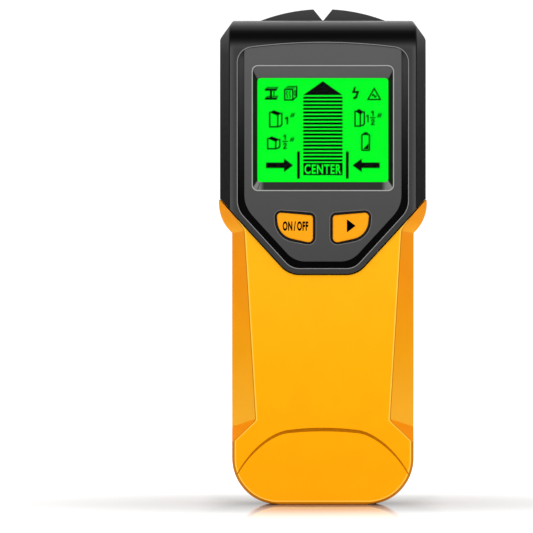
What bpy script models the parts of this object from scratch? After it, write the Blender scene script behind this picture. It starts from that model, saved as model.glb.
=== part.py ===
"""Handheld stud finder: casing shells, LCD, two keys, battery bay and sensing boards.

Sizes are in millimetres and become metres in mesh_object(). X runs to the right, Y from the
front of the tool (-) to the wall side (+), Z up from the foot. The origin is the middle of the
bounding box's bottom face.
"""
import math

import bmesh
import bpy
from mathutils import Vector

MM = 0.001
GAP = 0.3                                  # air left between neighbouring pieces
WALL = 2.0                                 # casing wall
FAR = 60.0                                 # beyond every surface, for the ends of cutting tools

# Casing
PARTING = 0.0                              # the plane between the front and rear shells
BACK = 13.25                               # rear face of the casing
PAD_SEAT = BACK - 0.5                      # the felt pads lie in shallow recesses
PAD_PROUD = 0.5                            # and stand this far out of the rear face
BACK_ROUND = 5.0
SMALL_FACET = 0.55                         # least width of the facet between front and side
LIP_WALL = 0.8                             # lip on the rear shells, inside the front shells
LIP_DEPTH = 1.2
LIP_TOP = 93.0                             # the handle's lip stops short of the head's front shell
HEAD_FRONT = -13.75                        # front of the bezel
HEAD_WALL = 2.8                            # bezel wall: a recess for the face panel and its ledge
HEAD_HALF = 33.3
HEAD_FACE_HALF = 30.0                      # the bezel's flat ends here and its side facet starts
HEAD_SHOULDER = -7.0                       # depth at which a side facet meets the side wall
BAR_TOP = 156.5
BAR_ROUND = 6.5
HEAD_CORNER = (150.6, 156.4, 4.15)         # chamfer: start height, end height, width
RIDGE_TOP = 160.2
RIDGE_RADIUS = 56.0
NOTCH_HALF = 3.1                           # half-width of the marking notch at the ridge's top

# Handle
HANDLE_HALF = 29.4
FOOT_FLAT = 14.4                           # half-width of the flat that it stands on
FOOT_RADIUS = 15.0
FOOT_EDGE = 2.6                            # rounding of the foot's front and rear edges
WING_START = 87.8
WING_RADIUS = 13.2
WING_TOP = 97.5
FRONT_DEPTH = ((FOOT_EDGE, -10.8), (24.0, -11.5), (74.5, -12.9), (101.0, -13.15))
FACE_EDGE = ((20.2, HANDLE_HALF), (20.3, 28.85), (27.6, 21.5), (89.0, 25.3), (95.2, 29.9), (101.0, 30.0))
SHOULDER_DEPTH = ((20.2, -20.0), (20.3, -10.8), (25.2, -6.0), (WING_START, -6.0), (WING_TOP, HEAD_SHOULDER))

# Bezel opening, and every outline that runs parallel to it
OPENING_HALF = 27.7
OPENING_BOTTOM = (10.2, 76.4)              # corner between the flat bottom and the diagonal
OPENING_TOP = 149.9
OPENING_CROWN = 180.0                      # radius of the shallow top arc
OPENING_ROUND = 6.0
HANDLE_ROUND = 8.0                         # the same corners where the head meets the handle
TOP_ROUND = 3.9
DIAGONAL = math.radians(47.5)
TO_HANDLE = -1.9                           # insets from the opening: the handle's edge,
TO_PANEL = 2.3                             # the face panel's edge,
TO_LEDGE = 3.7                             # and the hole in the panel's ledge
SPLIT_HEIGHT = 98.5                        # head meets handle at the sides and the back
PANEL_FRONT = -13.35
PANEL_BACK = -12.25
LEDGE_FRONT = PANEL_BACK + GAP

# Display
GLASS_HALF = 21.15
GLASS_Z = (104.4, 138.25)
FRAME_HALF = 22.8
FRAME_Z = (101.7, 142.0)
FUNNEL_BACK = -11.2
STACK_HALF = 22.7
STACK_Z = (102.8, 139.8)
BOARD_FRONT = -4.0
BOARD_THICK = 1.6

# Keys
KEY_INNER = 3.0
KEY_OUTER = 15.0
KEY_TOP = (93.6, 94.6)                     # at the inner and the outer side
KEY_BOTTOM = 84.3
KEY_SWEEP = (14.3, 87.0, 6.0)              # outer-lower corner (x, z) and its radius
KEY_FRONT = -13.75
SWITCH_AT = (8.8, 89.2)

# Battery bay: a 9 V block, terminals up
BATTERY_HALF = 13.25
BATTERY_Z = (10.5, 56.9)
BATTERY_Y = (-7.2, 10.3)
TERMINAL_X = 6.35
TERMINAL_TOP = 59.0
BAY_HALF = 13.9
BAY_Z = (9.9, 63.0)
BAY_FRONT = -7.5
DOOR_HALF = 16.2
DOOR_Z = (8.7, 64.7)
DOOR_THICK = 1.6
LEDGE_Y = (9.75, 11.25)                    # the bay's flange that the door closes on
BAY_FLANGE = 2.0
BAY_WALL = 1.2
HOOK_X = (7.0, 10.4)
HOOK_Y = (9.75, 10.95)
HOOK_REACH = 1.5                           # the hooks go this far under the casing's edge
BUZZER_AT = (-12.0, 88.0)
SOUND_HOLE_PITCH = 3.0
SOUND_HOLE_RADIUS = 0.8

# Fasteners, at (x, z) on both sides
CASE_SCREWS = {"head": (24.0, 149.0), "handle": (21.0, 72.0)}
CASE_SCREW_RADIUS = 1.0
CASE_SCREW_Y = (-7.5, 9.6)                 # tip and top of head
CASE_HEAD = (2.2, 1.8)                     # radius and thickness
COUNTERBORE = (2.6, 7.5)                   # radius, and the depth at which it ends
CASE_BOSS_RADIUS = {"front": 2.8, "rear": 3.4}
BOARD_SCREWS = {"upper": (27.0, 138.5), "lower": (27.0, 103.0)}
BOARD_SCREW_RADIUS = 0.8
BOARD_SCREW_TIP = -9.5
BOARD_HEAD = (1.5, 1.2)
BOARD_BOSS_RADIUS = 2.1
BOSS_ROOT = -11.6                          # depth inside the front wall at which bosses start
SCREW_ROOM = 0.4                           # radial clearance round a case screw's shank

# Sensing side
SENSOR_FRONT = 8.2
SENSOR_THICK = 1.2
COIL = (14.0, 11.0, 1.8)                   # outer and inner radius, thickness
COIL_HEIGHT = 122.0
ELECTRODES = {"left": -16.0, "centre": 0.0, "right": 16.0}
ELECTRODE_HALF = 6.5
ELECTRODE_Z = (103.0, 140.0)
PAD_X = (18.0, 27.0)
PAD_Z = (104.0, 140.0)

COLOURS = {                                # name: sRGB colour, roughness, metallic
    "yellow_shell": ((255, 174, 2), 0.45, 0.0),
    "black_shell": ((52, 52, 52), 0.45, 0.0),
    "grey_panel": ((84, 84, 84), 0.5, 0.0),
    "clear_window": ((60, 235, 70), 0.1, 0.0),
    "lcd_green": ((0, 255, 34), 0.25, 0.0),
    "white_plastic": ((225, 228, 225), 0.5, 0.0),
    "key_yellow": ((255, 170, 30), 0.4, 0.0),
    "black_rubber": ((24, 24, 24), 0.8, 0.0),
    "board_green": ((20, 92, 52), 0.4, 0.0),
    "chip_black": ((28, 28, 30), 0.5, 0.0),
    "copper": ((196, 120, 78), 0.35, 1.0),
    "nickel": ((190, 192, 196), 0.3, 1.0),
    "screw_steel": ((120, 122, 126), 0.35, 1.0),
    "wire_red": ((190, 22, 18), 0.45, 0.0),
    "wire_black": ((20, 20, 20), 0.45, 0.0),
    "battery_jacket": ((150, 152, 156), 0.35, 0.6),
    "felt": ((38, 38, 40), 0.95, 0.0),
    "foam": ((60, 60, 62), 0.9, 0.0),
}


# ---------------------------------------------------------------- helpers

def linear(channel):
    """sRGB 0-255 to linear 0-1."""
    value = channel / 255
    if value <= 0.04045:
        return value / 12.92
    return ((value + 0.055) / 1.055) ** 2.4


def material(name):
    found = bpy.data.materials.get(name)
    if found:
        return found
    colour, roughness, metallic = COLOURS[name]
    made = bpy.data.materials.new(name)
    made.use_nodes = True
    shader = made.node_tree.nodes["Principled BSDF"]
    shader.inputs["Base Color"].default_value = (*[linear(c) for c in colour], 1)
    shader.inputs["Roughness"].default_value = roughness
    shader.inputs["Metallic"].default_value = metallic
    return made


def mesh_object(name, bm):
    """Turn a bmesh in millimetres into an object in metres."""
    bmesh.ops.recalc_face_normals(bm, faces=bm.faces)
    bmesh.ops.scale(bm, vec=(MM, MM, MM), verts=bm.verts)
    mesh = bpy.data.meshes.new(name)
    bm.to_mesh(mesh)
    bm.free()
    made = bpy.data.objects.new(name, mesh)
    bpy.context.collection.objects.link(made)
    return made


def loft(name, rings):
    """Skin a stack of rings with equal numbers of (x, y, z) points, and cap both ends."""
    bm = bmesh.new()
    rows = [[bm.verts.new(point) for point in ring] for ring in rings]
    count = len(rows[0])
    for low, high in zip(rows, rows[1:]):
        for i in range(count):
            j = (i + 1) % count
            bm.faces.new((low[i], low[j], high[j], high[i]))
    bm.faces.new(rows[0])
    bm.faces.new(rows[-1])
    return mesh_object(name, bm)


def prism(name, outline, y_low, y_high):
    """An (x, z) outline pushed along Y."""
    return loft(name, [[(x, y, z) for x, z in outline] for y in (y_low, y_high)])


def box(name, x, y, z, round_edges=0.0):
    """A block between the low and high values of each axis."""
    bm = bmesh.new()
    bmesh.ops.create_cube(bm, size=1)
    centre = Vector([(low + high) / 2 for low, high in (x, y, z)])
    size = [high - low for low, high in (x, y, z)]
    bmesh.ops.scale(bm, vec=size, verts=bm.verts)
    bmesh.ops.translate(bm, vec=centre, verts=bm.verts)
    if round_edges:
        bmesh.ops.bevel(bm, geom=bm.edges[:], offset=round_edges, segments=1,
                        affect="EDGES", clamp_overlap=True)
    return mesh_object(name, bm)


def circle(radius, sides, centre=(0.0, 0.0)):
    """Points of a circle in a plane, as (a, b) pairs."""
    turns = [2 * math.pi * (i + 0.5) / sides for i in range(sides)]
    return [(centre[0] + radius * math.cos(t), centre[1] + radius * math.sin(t)) for t in turns]


def rod_y(name, at, y_low, y_high, radius, sides=16):
    """A round bar along Y at (x, z)."""
    return prism(name, circle(radius, sides, at), y_low, y_high)


def rod_z(name, at, z_low, z_high, radius, sides=16):
    """A round bar along Z at (x, y)."""
    return loft(name, [[(x, y, z) for x, y in circle(radius, sides, at)] for z in (z_low, z_high)])


def combine(target, tool, operation):
    """Apply a Boolean with a throw-away tool object."""
    modifier = target.modifiers.new("combine", "BOOLEAN")
    modifier.operation = operation
    modifier.object = tool
    graph = bpy.context.evaluated_depsgraph_get()
    result = bpy.data.meshes.new_from_object(target.evaluated_get(graph))
    target.modifiers.clear()
    target.data = result
    bpy.data.objects.remove(tool)
    return target


def cut(target, tool):
    return combine(target, tool, "DIFFERENCE")


def join(target, tool):
    return combine(target, tool, "UNION")


def keep_inside(target, tool):
    return combine(target, tool, "INTERSECT")


def finish(piece, material_name, smooth_angle=32):
    """Name the mesh, give it its one material and shade it."""
    mesh = piece.data
    mesh.name = piece.name
    mesh.materials.clear()
    mesh.materials.append(material(material_name))
    mesh.polygons.foreach_set("material_index", [0] * len(mesh.polygons))
    mesh.shade_smooth()
    mesh.set_sharp_from_angle(angle=math.radians(smooth_angle))
    return piece


def fillet(corners, steps=4):
    """Round each (x, z, radius) corner of a closed outline with an arc of the given steps."""
    outline = []
    for i, (x, z, radius) in enumerate(corners):
        here = Vector((x, z))
        if radius == 0:
            outline.append((x, z))
            continue
        to_last = (Vector(corners[i - 1][:2]) - here).normalized()
        to_next = (Vector(corners[(i + 1) % len(corners)][:2]) - here).normalized()
        half = to_last.angle(to_next) / 2
        centre = here + (to_last + to_next).normalized() * radius / math.sin(half)
        first = here + to_last * radius / math.tan(half) - centre
        turn = math.pi - 2 * half
        if first.x * to_last.y - first.y * to_last.x > 0:
            turn = -turn
        for step in range(steps + 1):
            angle = turn * step / steps
            outline.append((centre.x + first.x * math.cos(angle) - first.y * math.sin(angle),
                            centre.y + first.x * math.sin(angle) + first.y * math.cos(angle)))
    return outline


def along(table, at):
    """Straight-line interpolation through (position, value) pairs."""
    if at <= table[0][0]:
        return table[0][1]
    for (a, low), (b, high) in zip(table, table[1:]):
        if at <= b:
            return low + (high - low) * (at - a) / (b - a)
    return table[-1][1]


def mirrored(points):
    """A half outline on +X, completed by its mirror image on -X."""
    return list(points) + [(-x, other) for x, other in reversed(points)]


# ---------------------------------------------------------------- casing envelopes

def inset_convex(points, distances):
    """Move each edge of a clockwise or anticlockwise convex outline inwards."""
    count = len(points)
    middle = sum((Vector(p) for p in points), Vector((0, 0))) / count
    lines = []
    for i in range(count):
        a = Vector(points[i])
        b = Vector(points[(i + 1) % count])
        along_edge = (b - a).normalized()
        normal = Vector((-along_edge.y, along_edge.x))
        if normal.dot(middle - a) < 0:
            normal = -normal
        lines.append((a + normal * distances[i], along_edge))
    result = []
    for i in range(count):
        p, d = lines[i - 1]
        q, e = lines[i]
        span = d.x * e.y - d.y * e.x
        if abs(span) < 1e-6:
            result.append((q.x, q.y))
            continue
        t = ((q.x - p.x) * e.y - (q.y - p.y) * e.x) / span
        result.append((p.x + d.x * t, p.y + d.y * t))
    return result


def section(half, face, front, shoulder, back, z, wall=0.0, front_wall=0.0):
    """A ring across the tool: flat front, two side facets, side walls and a rounded back.

    An inner ring keeps a side facet at least as wide as its wall, so that it never turns over.
    """
    face = min(face, half - SMALL_FACET - wall)
    shoulder = max(shoulder, front + SMALL_FACET + wall)
    right = [(face, front), (half, shoulder)]
    steps = 3
    for step in range(steps + 1):
        angle = math.radians(90) * step / steps
        right.append((half - BACK_ROUND + BACK_ROUND * math.cos(angle),
                      back - BACK_ROUND + BACK_ROUND * math.sin(angle)))
    ring = mirrored(right)
    if wall:
        ring = inset_convex(ring, [wall] * (len(ring) - 1) + [front_wall])
    return [(x, y, z) for x, y in ring]


def rounded_edge(radius, depth):
    """How far an edge of this radius has pulled back, this far short of its end."""
    short = max(radius - depth, 0.0)
    return radius - math.sqrt(radius * radius - short * short)


def handle_half(z, wall):
    """Half-width of the handle: a round-cornered foot, straight grip and flared wings."""
    if z < FOOT_RADIUS:
        radius = FOOT_RADIUS - wall
        return FOOT_FLAT + math.sqrt(max(radius * radius - (FOOT_RADIUS - z) ** 2, 0)) + wall
    if z < WING_START:
        return HANDLE_HALF
    centre = HANDLE_HALF - WING_RADIUS * math.sqrt(1 - ((WING_TOP - WING_START) / WING_RADIUS) ** 2)
    return centre + math.sqrt(WING_RADIUS ** 2 - max(WING_TOP - z, 0) ** 2)


def handle_envelope(name, wall=0.0):
    foot_steps = [FOOT_RADIUS * (1 - math.cos(math.radians(a))) for a in (0, 12, 21, 34, 46, 60, 75, 90)]
    wing_steps = [WING_START + (WING_TOP - WING_START) * i / 4 for i in range(5)]
    stations = foot_steps + [20.3, 25.2, 27.6] + wing_steps + [101.0]
    if wall:
        stations = [wall] + [z for z in stations if z > wall + 0.5]
    rings = []
    for z in stations:
        half = handle_half(z, wall)
        edge = rounded_edge(FOOT_EDGE, z)
        front = along(FRONT_DEPTH, z) + edge
        face = along(FACE_EDGE, z)
        shoulder = along(SHOULDER_DEPTH, z)
        rings.append(section(half, face, front, shoulder, BACK - edge, z, wall, wall))
    return loft(name, rings)


def head_envelope(name, wall=0.0):
    chamfer_low, chamfer_high, chamfer = HEAD_CORNER
    bar_low = BAR_TOP - BAR_ROUND
    top = BAR_TOP - wall
    bar_steps = [bar_low + (BAR_ROUND - wall) * math.sin(math.radians(a)) for a in (0, 25, 45, 65, 80)]
    rings = []
    for z in [70.0, *bar_steps, top]:
        slope = max(z - chamfer_low, 0) / (chamfer_high - chamfer_low)
        half = HEAD_HALF - chamfer * slope
        front = HEAD_FRONT + rounded_edge(BAR_ROUND, BAR_TOP - z)
        back = BACK - rounded_edge(3.0, BAR_TOP - z)
        rings.append(section(half, HEAD_FACE_HALF, front, HEAD_SHOULDER, back, z, wall, HEAD_WALL))
    return loft(name, rings)


def bezel_corner(inset):
    """Lower corner of an outline parallel to the bezel opening."""
    x = OPENING_BOTTOM[0] - inset * math.sin(DIAGONAL) + inset * math.tan(DIAGONAL / 2) * math.cos(DIAGONAL)
    return x, OPENING_BOTTOM[1] + inset


def bezel_outline(inset, top_inset):
    """Closed outline parallel to the bezel opening: arched top, sloping lower corners."""
    side = OPENING_HALF - inset
    low_x, low_z = bezel_corner(inset)
    elbow_z = low_z + (side - low_x) * math.tan(DIAGONAL)
    crown = [(side * part, OPENING_TOP - top_inset - (side * part) ** 2 / (2 * OPENING_CROWN))
             for part in (1.0, 0.8, 0.4)]
    right = [(low_x, low_z, OPENING_ROUND), (side, elbow_z, OPENING_ROUND),
             (*crown[0], TOP_ROUND - 0.6 * inset), *[(x, z, 0) for x, z in crown[1:]]]
    left = [(-x, z, radius) for x, z, radius in reversed(right)]
    return fillet(right + left)


def head_region(offset):
    """Everything above the line where the head meets the handle, moved up by an offset."""
    low_x, low_z = bezel_corner(TO_HANDLE + offset)
    side_z = SPLIT_HEIGHT + offset
    split_x = low_x + (side_z - low_z) / math.tan(DIAGONAL)
    right = [(low_x, low_z, HANDLE_ROUND), (split_x, side_z, 0), (FAR, side_z, 0), (FAR, 4 * FAR, 0)]
    left = [(-x, z, radius) for x, z, radius in reversed(right)]
    return fillet(right + left)


def hollow_shell(name, envelope):
    """The casing's whole skin before it is divided into shells."""
    skin = envelope(name)
    return cut(skin, envelope(name + "_inner", WALL))


def add_lip(shell, envelope, z_range):
    """A lip inside the rear shell that reaches behind the front shell's edge and closes the joint."""
    for outer_wall, y in ((WALL - 0.1, (PARTING + GAP / 2, LIP_DEPTH)), (WALL + GAP, (-LIP_DEPTH, LIP_DEPTH))):
        lip = envelope("lip", outer_wall)
        cut(lip, envelope("lip_core", WALL + GAP + LIP_WALL))
        keep_inside(lip, box("lip_band", (-FAR, FAR), y, z_range))
        join(shell, lip)
    return shell


def screw_bosses(shell, at, front_half):
    """Two bosses for the case screws: a pilot hole in front, a counterbored one behind."""
    hole = CASE_SCREW_RADIUS + SCREW_ROOM
    for side in (-1, 1):
        spot = (side * at[0], at[1])
        if front_half:
            join(shell, rod_y("boss", spot, BOSS_ROOT, PARTING - GAP, CASE_BOSS_RADIUS["front"]))
            cut(shell, rod_y("pilot", spot, CASE_SCREW_Y[0] - 1, FAR, hole, 12))
        else:
            join(shell, rod_y("boss", spot, PARTING + GAP, BACK - WALL / 2, CASE_BOSS_RADIUS["rear"]))
            cut(shell, rod_y("counterbore", spot, COUNTERBORE[1], FAR, COUNTERBORE[0]))
            cut(shell, rod_y("clearance", spot, -FAR, COUNTERBORE[1] + 1, hole, 12))
    return shell


def make_head_front_cover():
    cover = hollow_shell("head_front_cover", head_envelope)
    keep_inside(cover, prism("front_half", head_region(GAP / 2), -FAR, PARTING - GAP / 2))
    cut(cover, prism("panel_recess", bezel_outline(0, 0), -FAR, LEDGE_FRONT))
    cut(cover, prism("ledge_hole", bezel_outline(TO_LEDGE, TO_LEDGE), -FAR, PARTING))
    for x, z in BOARD_SCREWS.values():
        for side in (-1, 1):
            join(cover, rod_y("boss", (side * x, z), BOSS_ROOT, BOARD_FRONT - GAP, BOARD_BOSS_RADIUS, 12))
            cut(cover, rod_y("pilot", (side * x, z), BOARD_SCREW_TIP - 0.5, 0, BOARD_SCREW_RADIUS + GAP, 8))
    screw_bosses(cover, CASE_SCREWS["head"], True)
    return finish(cover, "black_shell")


def ridge_outline():
    """The arched ridge behind the bar with the V notch for marking a wall."""
    centre_z = RIDGE_TOP - math.sqrt(RIDGE_RADIUS ** 2 - NOTCH_HALF ** 2)
    base = BAR_TOP - 1.0
    widest = math.sqrt(RIDGE_RADIUS ** 2 - (base - centre_z) ** 2)
    steps = 5
    arc = []
    for step in range(steps + 1):
        x = widest + (NOTCH_HALF - widest) * step / steps
        arc.append((x, centre_z + math.sqrt(RIDGE_RADIUS ** 2 - x * x)))
    return mirrored([*arc, (GAP / 2, BAR_TOP + 0.1)])


def make_head_rear_cover():
    cover = hollow_shell("head_rear_cover", head_envelope)
    join(cover, prism("ridge", ridge_outline(), PARTING - 1, BACK - 2.0))
    low = SPLIT_HEIGHT + GAP / 2
    keep_inside(cover, box("rear_half", (-FAR, FAR), (PARTING + GAP / 2, FAR), (low, RIDGE_TOP + FAR)))
    add_lip(cover, head_envelope, (low, BAR_TOP))
    screw_bosses(cover, CASE_SCREWS["head"], False)
    for side in (-1, 1):
        x = sorted((side * (PAD_X[0] - GAP), side * (PAD_X[1] + GAP)))
        cut(cover, box("pad_recess", x, (PAD_SEAT - GAP, FAR), (PAD_Z[0] - GAP, PAD_Z[1] + GAP)))
    return finish(cover, "black_shell")


def make_handle_front_shell():
    shell = hollow_shell("handle_front_shell", handle_envelope)
    keep_inside(shell, box("front_half", (-FAR, FAR), (-FAR, PARTING - GAP / 2), (-FAR, 2 * FAR)))
    cut(shell, prism("head_side", head_region(-GAP / 2), -FAR, FAR))
    screw_bosses(shell, CASE_SCREWS["handle"], True)
    return finish(shell, "yellow_shell")


def make_handle_rear_shell():
    shell = hollow_shell("handle_rear_shell", handle_envelope)
    high = SPLIT_HEIGHT - GAP / 2
    keep_inside(shell, box("rear_half", (-FAR, FAR), (PARTING + GAP / 2, FAR), (-FAR, high)))
    add_lip(shell, handle_envelope, (-FAR, LIP_TOP))
    flange = DOOR_HALF + BAY_FLANGE
    join(shell, box("flange", (-flange, flange), (LEDGE_Y[0], BACK - 1.2),
                    (DOOR_Z[0] - BAY_FLANGE, DOOR_Z[1] + BAY_FLANGE)))
    bay_outer = BAY_HALF + BAY_WALL
    join(shell, box("bay_walls", (-bay_outer, bay_outer), (BAY_FRONT - 0.9, BACK - WALL / 2),
                    (BAY_Z[0] - BAY_WALL, BAY_Z[1] + BAY_WALL)))
    cut(shell, box("bay", (-BAY_HALF, BAY_HALF), (BAY_FRONT, FAR), BAY_Z))
    cut(shell, box("door_hole", (-DOOR_HALF - GAP, DOOR_HALF + GAP), (LEDGE_Y[1], FAR),
                   (DOOR_Z[0] - GAP, DOOR_Z[1] + GAP)))
    for side in (-1, 1):
        x = sorted((side * (HOOK_X[0] - 0.5), side * (HOOK_X[1] + 0.5)))
        slot_z = (BAY_Z[1] - 3, DOOR_Z[1] + HOOK_REACH + 0.6)
        cut(shell, box("hook_slot", x, (HOOK_Y[0] - 1.2, LEDGE_Y[1] + GAP), slot_z))
    cut(shell, box("wire_notch", (-4.0, 4.0), (-1.0, 4.0), (BAY_Z[1] - 1, BAY_Z[1] + 3)))
    screw_bosses(shell, CASE_SCREWS["handle"], False)
    for step in range(-2, 3):
        spot = (BUZZER_AT[0] + SOUND_HOLE_PITCH * step, BUZZER_AT[1])
        cut(shell, rod_y("sound_hole", spot, BACK - 2 * WALL, FAR, SOUND_HOLE_RADIUS, 8))
    return finish(shell, "yellow_shell")


# ---------------------------------------------------------------- face panel and display

def frame_ring(half, z_range, y):
    """A rectangle in a plane of constant Y."""
    low, high = z_range
    return [(-half, y, low), (half, y, low), (half, y, high), (-half, y, high)]


def funnel(name):
    """The sloping walls from the panel's face down to the display."""
    depth = FUNNEL_BACK - PANEL_FRONT
    rings = []
    for part in (-0.5, 1.5):
        half = FRAME_HALF + (GLASS_HALF - FRAME_HALF) * part
        low = FRAME_Z[0] + (GLASS_Z[0] - FRAME_Z[0]) * part
        high = FRAME_Z[1] + (GLASS_Z[1] - FRAME_Z[1]) * part
        rings.append(frame_ring(half, (low, high), PANEL_FRONT + depth * part))
    return loft(name, rings)


def key_outline(side, grow=0.0):
    """Outline of a key: straight top and inner side, swept outer-lower corner."""
    inner = KEY_INNER - grow
    sweep_x, sweep_z, sweep_radius = KEY_SWEEP
    corners = [(inner, KEY_BOTTOM - grow, 1.0 + grow), (inner, KEY_TOP[0] + grow, 1.0 + grow),
               (KEY_OUTER + grow, KEY_TOP[1] + grow, 1.2 + grow),
               (sweep_x + grow, sweep_z - grow, sweep_radius + grow)]
    return [(side * x, z) for x, z in fillet(corners)]


def make_face_panel():
    panel = prism("face_panel", bezel_outline(TO_PANEL, GAP), PANEL_FRONT, PANEL_BACK)
    block_half = STACK_HALF + 1.0
    join(panel, box("funnel_block", (-block_half, block_half), (PANEL_BACK - 0.5, FUNNEL_BACK),
                    (FRAME_Z[0] - 1.1, FRAME_Z[1] + 1.0)))
    cut(panel, funnel("funnel"))
    for side in (-1, 1):
        cut(panel, prism("key_hole", key_outline(side, 0.5), -30, 0))
    return finish(panel, "grey_panel")


def make_display():
    window_y = (FUNNEL_BACK + GAP, FUNNEL_BACK + GAP + 1.0)
    glass_y = (window_y[1] + GAP, window_y[1] + GAP + 2.2)
    light_y = (glass_y[1] + GAP, BOARD_FRONT - GAP)
    wide = (-STACK_HALF, STACK_HALF)
    finish(box("display_window", wide, window_y, STACK_Z), "clear_window")
    finish(box("lcd_glass", wide, glass_y, STACK_Z), "lcd_green")
    finish(box("lcd_backlight", wide, light_y, (STACK_Z[0] + 4, STACK_Z[1])), "white_plastic")
    contact = box("lcd_contact_strip", (-18, 18), light_y, (STACK_Z[0] + 0.6, STACK_Z[0] + 3.2))
    finish(contact, "black_rubber")
    outer = STACK_HALF + GAP + 1.4
    holder = box("lcd_holder", (-outer, outer), (window_y[0] + 0.5, light_y[1]),
                 (STACK_Z[0] - GAP - 1.3, STACK_Z[1] + GAP + 1.3))
    cut(holder, box("stack_space", (-STACK_HALF - GAP, STACK_HALF + GAP), (-30, 10),
                    (STACK_Z[0] - GAP, STACK_Z[1] + GAP)))
    finish(holder, "white_plastic")


# ---------------------------------------------------------------- keys and switches

def hang(pieces, empty_name, at):
    """Parent pieces to an empty on their joint's axis, so that they turn or slide about it."""
    empty = bpy.data.objects.new(empty_name, None)
    empty.location = Vector(at) * MM
    bpy.context.collection.objects.link(empty)
    for piece in pieces:
        for vertex in piece.data.vertices:
            vertex.co -= empty.location
        piece.parent = empty


def make_key(name, side):
    x, z = side * SWITCH_AT[0], SWITCH_AT[1]
    pad_front = PANEL_BACK + GAP
    cap = prism(name + "_keycap", key_outline(side), KEY_FRONT, pad_front - GAP)
    finish(cap, "key_yellow")
    pad = prism(name + "_key_pad", key_outline(side, 1.2), pad_front, pad_front + 1.0)
    switch_top = BOARD_FRONT - GAP - 3.3
    plunger_top = switch_top - 0.8
    join(pad, rod_y("post", (x, z), pad_front + 0.5, plunger_top - GAP, 2.2, 12))
    finish(pad, "black_rubber")
    hang([cap, pad], name + "_key_axis", (x, KEY_FRONT, z))

    body = box(name + "_switch_body", (x - 3, x + 3), (switch_top, BOARD_FRONT - GAP), (z - 3, z + 3), 0.3)
    cut(body, rod_y("plunger_hole", (x, z), switch_top - 2, switch_top + 1.8, 2.0, 12))
    finish(body, "chip_black")
    plunger = rod_y(name + "_switch_plunger", (x, z), plunger_top, switch_top + 1.2, 1.6, 12)
    finish(plunger, "white_plastic")
    hang([plunger], name + "_plunger_axis", (x, plunger_top, z))


# ---------------------------------------------------------------- boards and what they carry

def make_main_board():
    outline = mirrored([(23.0, 78.5), (23.0, 94.5), (28.6, 100.0), (28.6, 142.2)])
    board = prism("main_board", outline, BOARD_FRONT, BOARD_FRONT + BOARD_THICK)
    for x, z in BOARD_SCREWS.values():
        for side in (-1, 1):
            cut(board, rod_y("screw_hole", (side * x, z), -FAR, FAR, BOARD_SCREW_RADIUS + GAP, 8))
    finish(board, "board_green")
    rear = BOARD_FRONT + BOARD_THICK + GAP
    finish(box("controller_chip", (-5, 5), (rear, rear + 1.5), (115, 125), 0.2), "chip_black")
    finish(rod_y("buzzer", BUZZER_AT, rear, rear + 5.5, 6.0, 20), "chip_black")
    finish(rod_y("supply_capacitor", (14.0, 86.0), rear, rear + 7.0, 3.2), "nickel")
    for place, (x, z) in BOARD_SCREWS.items():
        for side, side_name in ((-1, "left"), (1, "right")):
            spot = (side * x, z)
            screw = rod_y(f"board_screw_{place}_{side_name}", spot, BOARD_SCREW_TIP, rear + 0.4,
                          BOARD_SCREW_RADIUS, 8)
            join(screw, rod_y("head", spot, rear, rear + BOARD_HEAD[1], BOARD_HEAD[0], 12))
            finish(screw, "screw_steel")


def make_sensor_board():
    rear = SENSOR_FRONT + SENSOR_THICK
    board = box("sensor_board", (-23.2, 23.2), (SENSOR_FRONT, rear), (88.0, 142.6))
    finish(board, "board_green")
    chip_y = (SENSOR_FRONT - GAP - 1.5, SENSOR_FRONT - GAP)
    finish(box("amplifier_chip", (-5, 5), chip_y, (91, 95), 0.2), "chip_black")
    for name, x in ELECTRODES.items():
        plate = box("electrode_" + name, (x - ELECTRODE_HALF, x + ELECTRODE_HALF),
                    (rear + GAP, rear + 2 * GAP), ELECTRODE_Z)
        finish(plate, "copper")
    outer, inner, thick = COIL
    coil = rod_y("search_coil", (0, COIL_HEIGHT), SENSOR_FRONT - GAP - thick, SENSOR_FRONT - GAP, outer, 28)
    cut(coil, rod_y("coil_bore", (0, COIL_HEIGHT), -FAR, FAR, inner, 28))
    finish(coil, "copper")
    main_rear = BOARD_FRONT + BOARD_THICK + GAP
    finish(box("board_link", (-10, 10), (main_rear, SENSOR_FRONT - GAP), (98.6, 101.2)), "chip_black")


# ---------------------------------------------------------------- battery bay

def make_battery():
    case = box("battery_case", (-BATTERY_HALF, BATTERY_HALF), BATTERY_Y, BATTERY_Z, 1.0)
    finish(case, "battery_jacket", 60)
    middle_y = (BATTERY_Y[0] + BATTERY_Y[1]) / 2
    base = BATTERY_Z[1] + GAP
    stud = rod_z("battery_terminal_positive", (-TERMINAL_X, middle_y), base, TERMINAL_TOP, 2.8, 16)
    finish(stud, "nickel")
    socket = rod_z("battery_terminal_negative", (TERMINAL_X, middle_y), base, TERMINAL_TOP, 4.6, 6)
    cut(socket, rod_z("socket_bore", (TERMINAL_X, middle_y), base + 2 * GAP, 2 * FAR, 3.3, 12))
    finish(socket, "nickel")

    snap_low = TERMINAL_TOP + GAP
    snap_z = (snap_low + 2 * GAP, BAY_Z[1] - 0.5)
    snap = box("battery_snap", (-12.5, 12.5), (middle_y - 6.2, middle_y + 6.2), snap_z, 0.4)
    finish(snap, "black_rubber")
    ring = rod_z("snap_contact_positive", (-TERMINAL_X, middle_y), base + GAP, snap_low + GAP, 3.9, 16)
    cut(ring, rod_z("ring_bore", (-TERMINAL_X, middle_y), 0, snap_low - 0.1, 3.1, 16))
    finish(ring, "nickel")
    plug = rod_z("snap_contact_negative", (TERMINAL_X, middle_y), base + 1.0, snap_low + GAP, 2.9, 16)
    finish(plug, "nickel")


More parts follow.
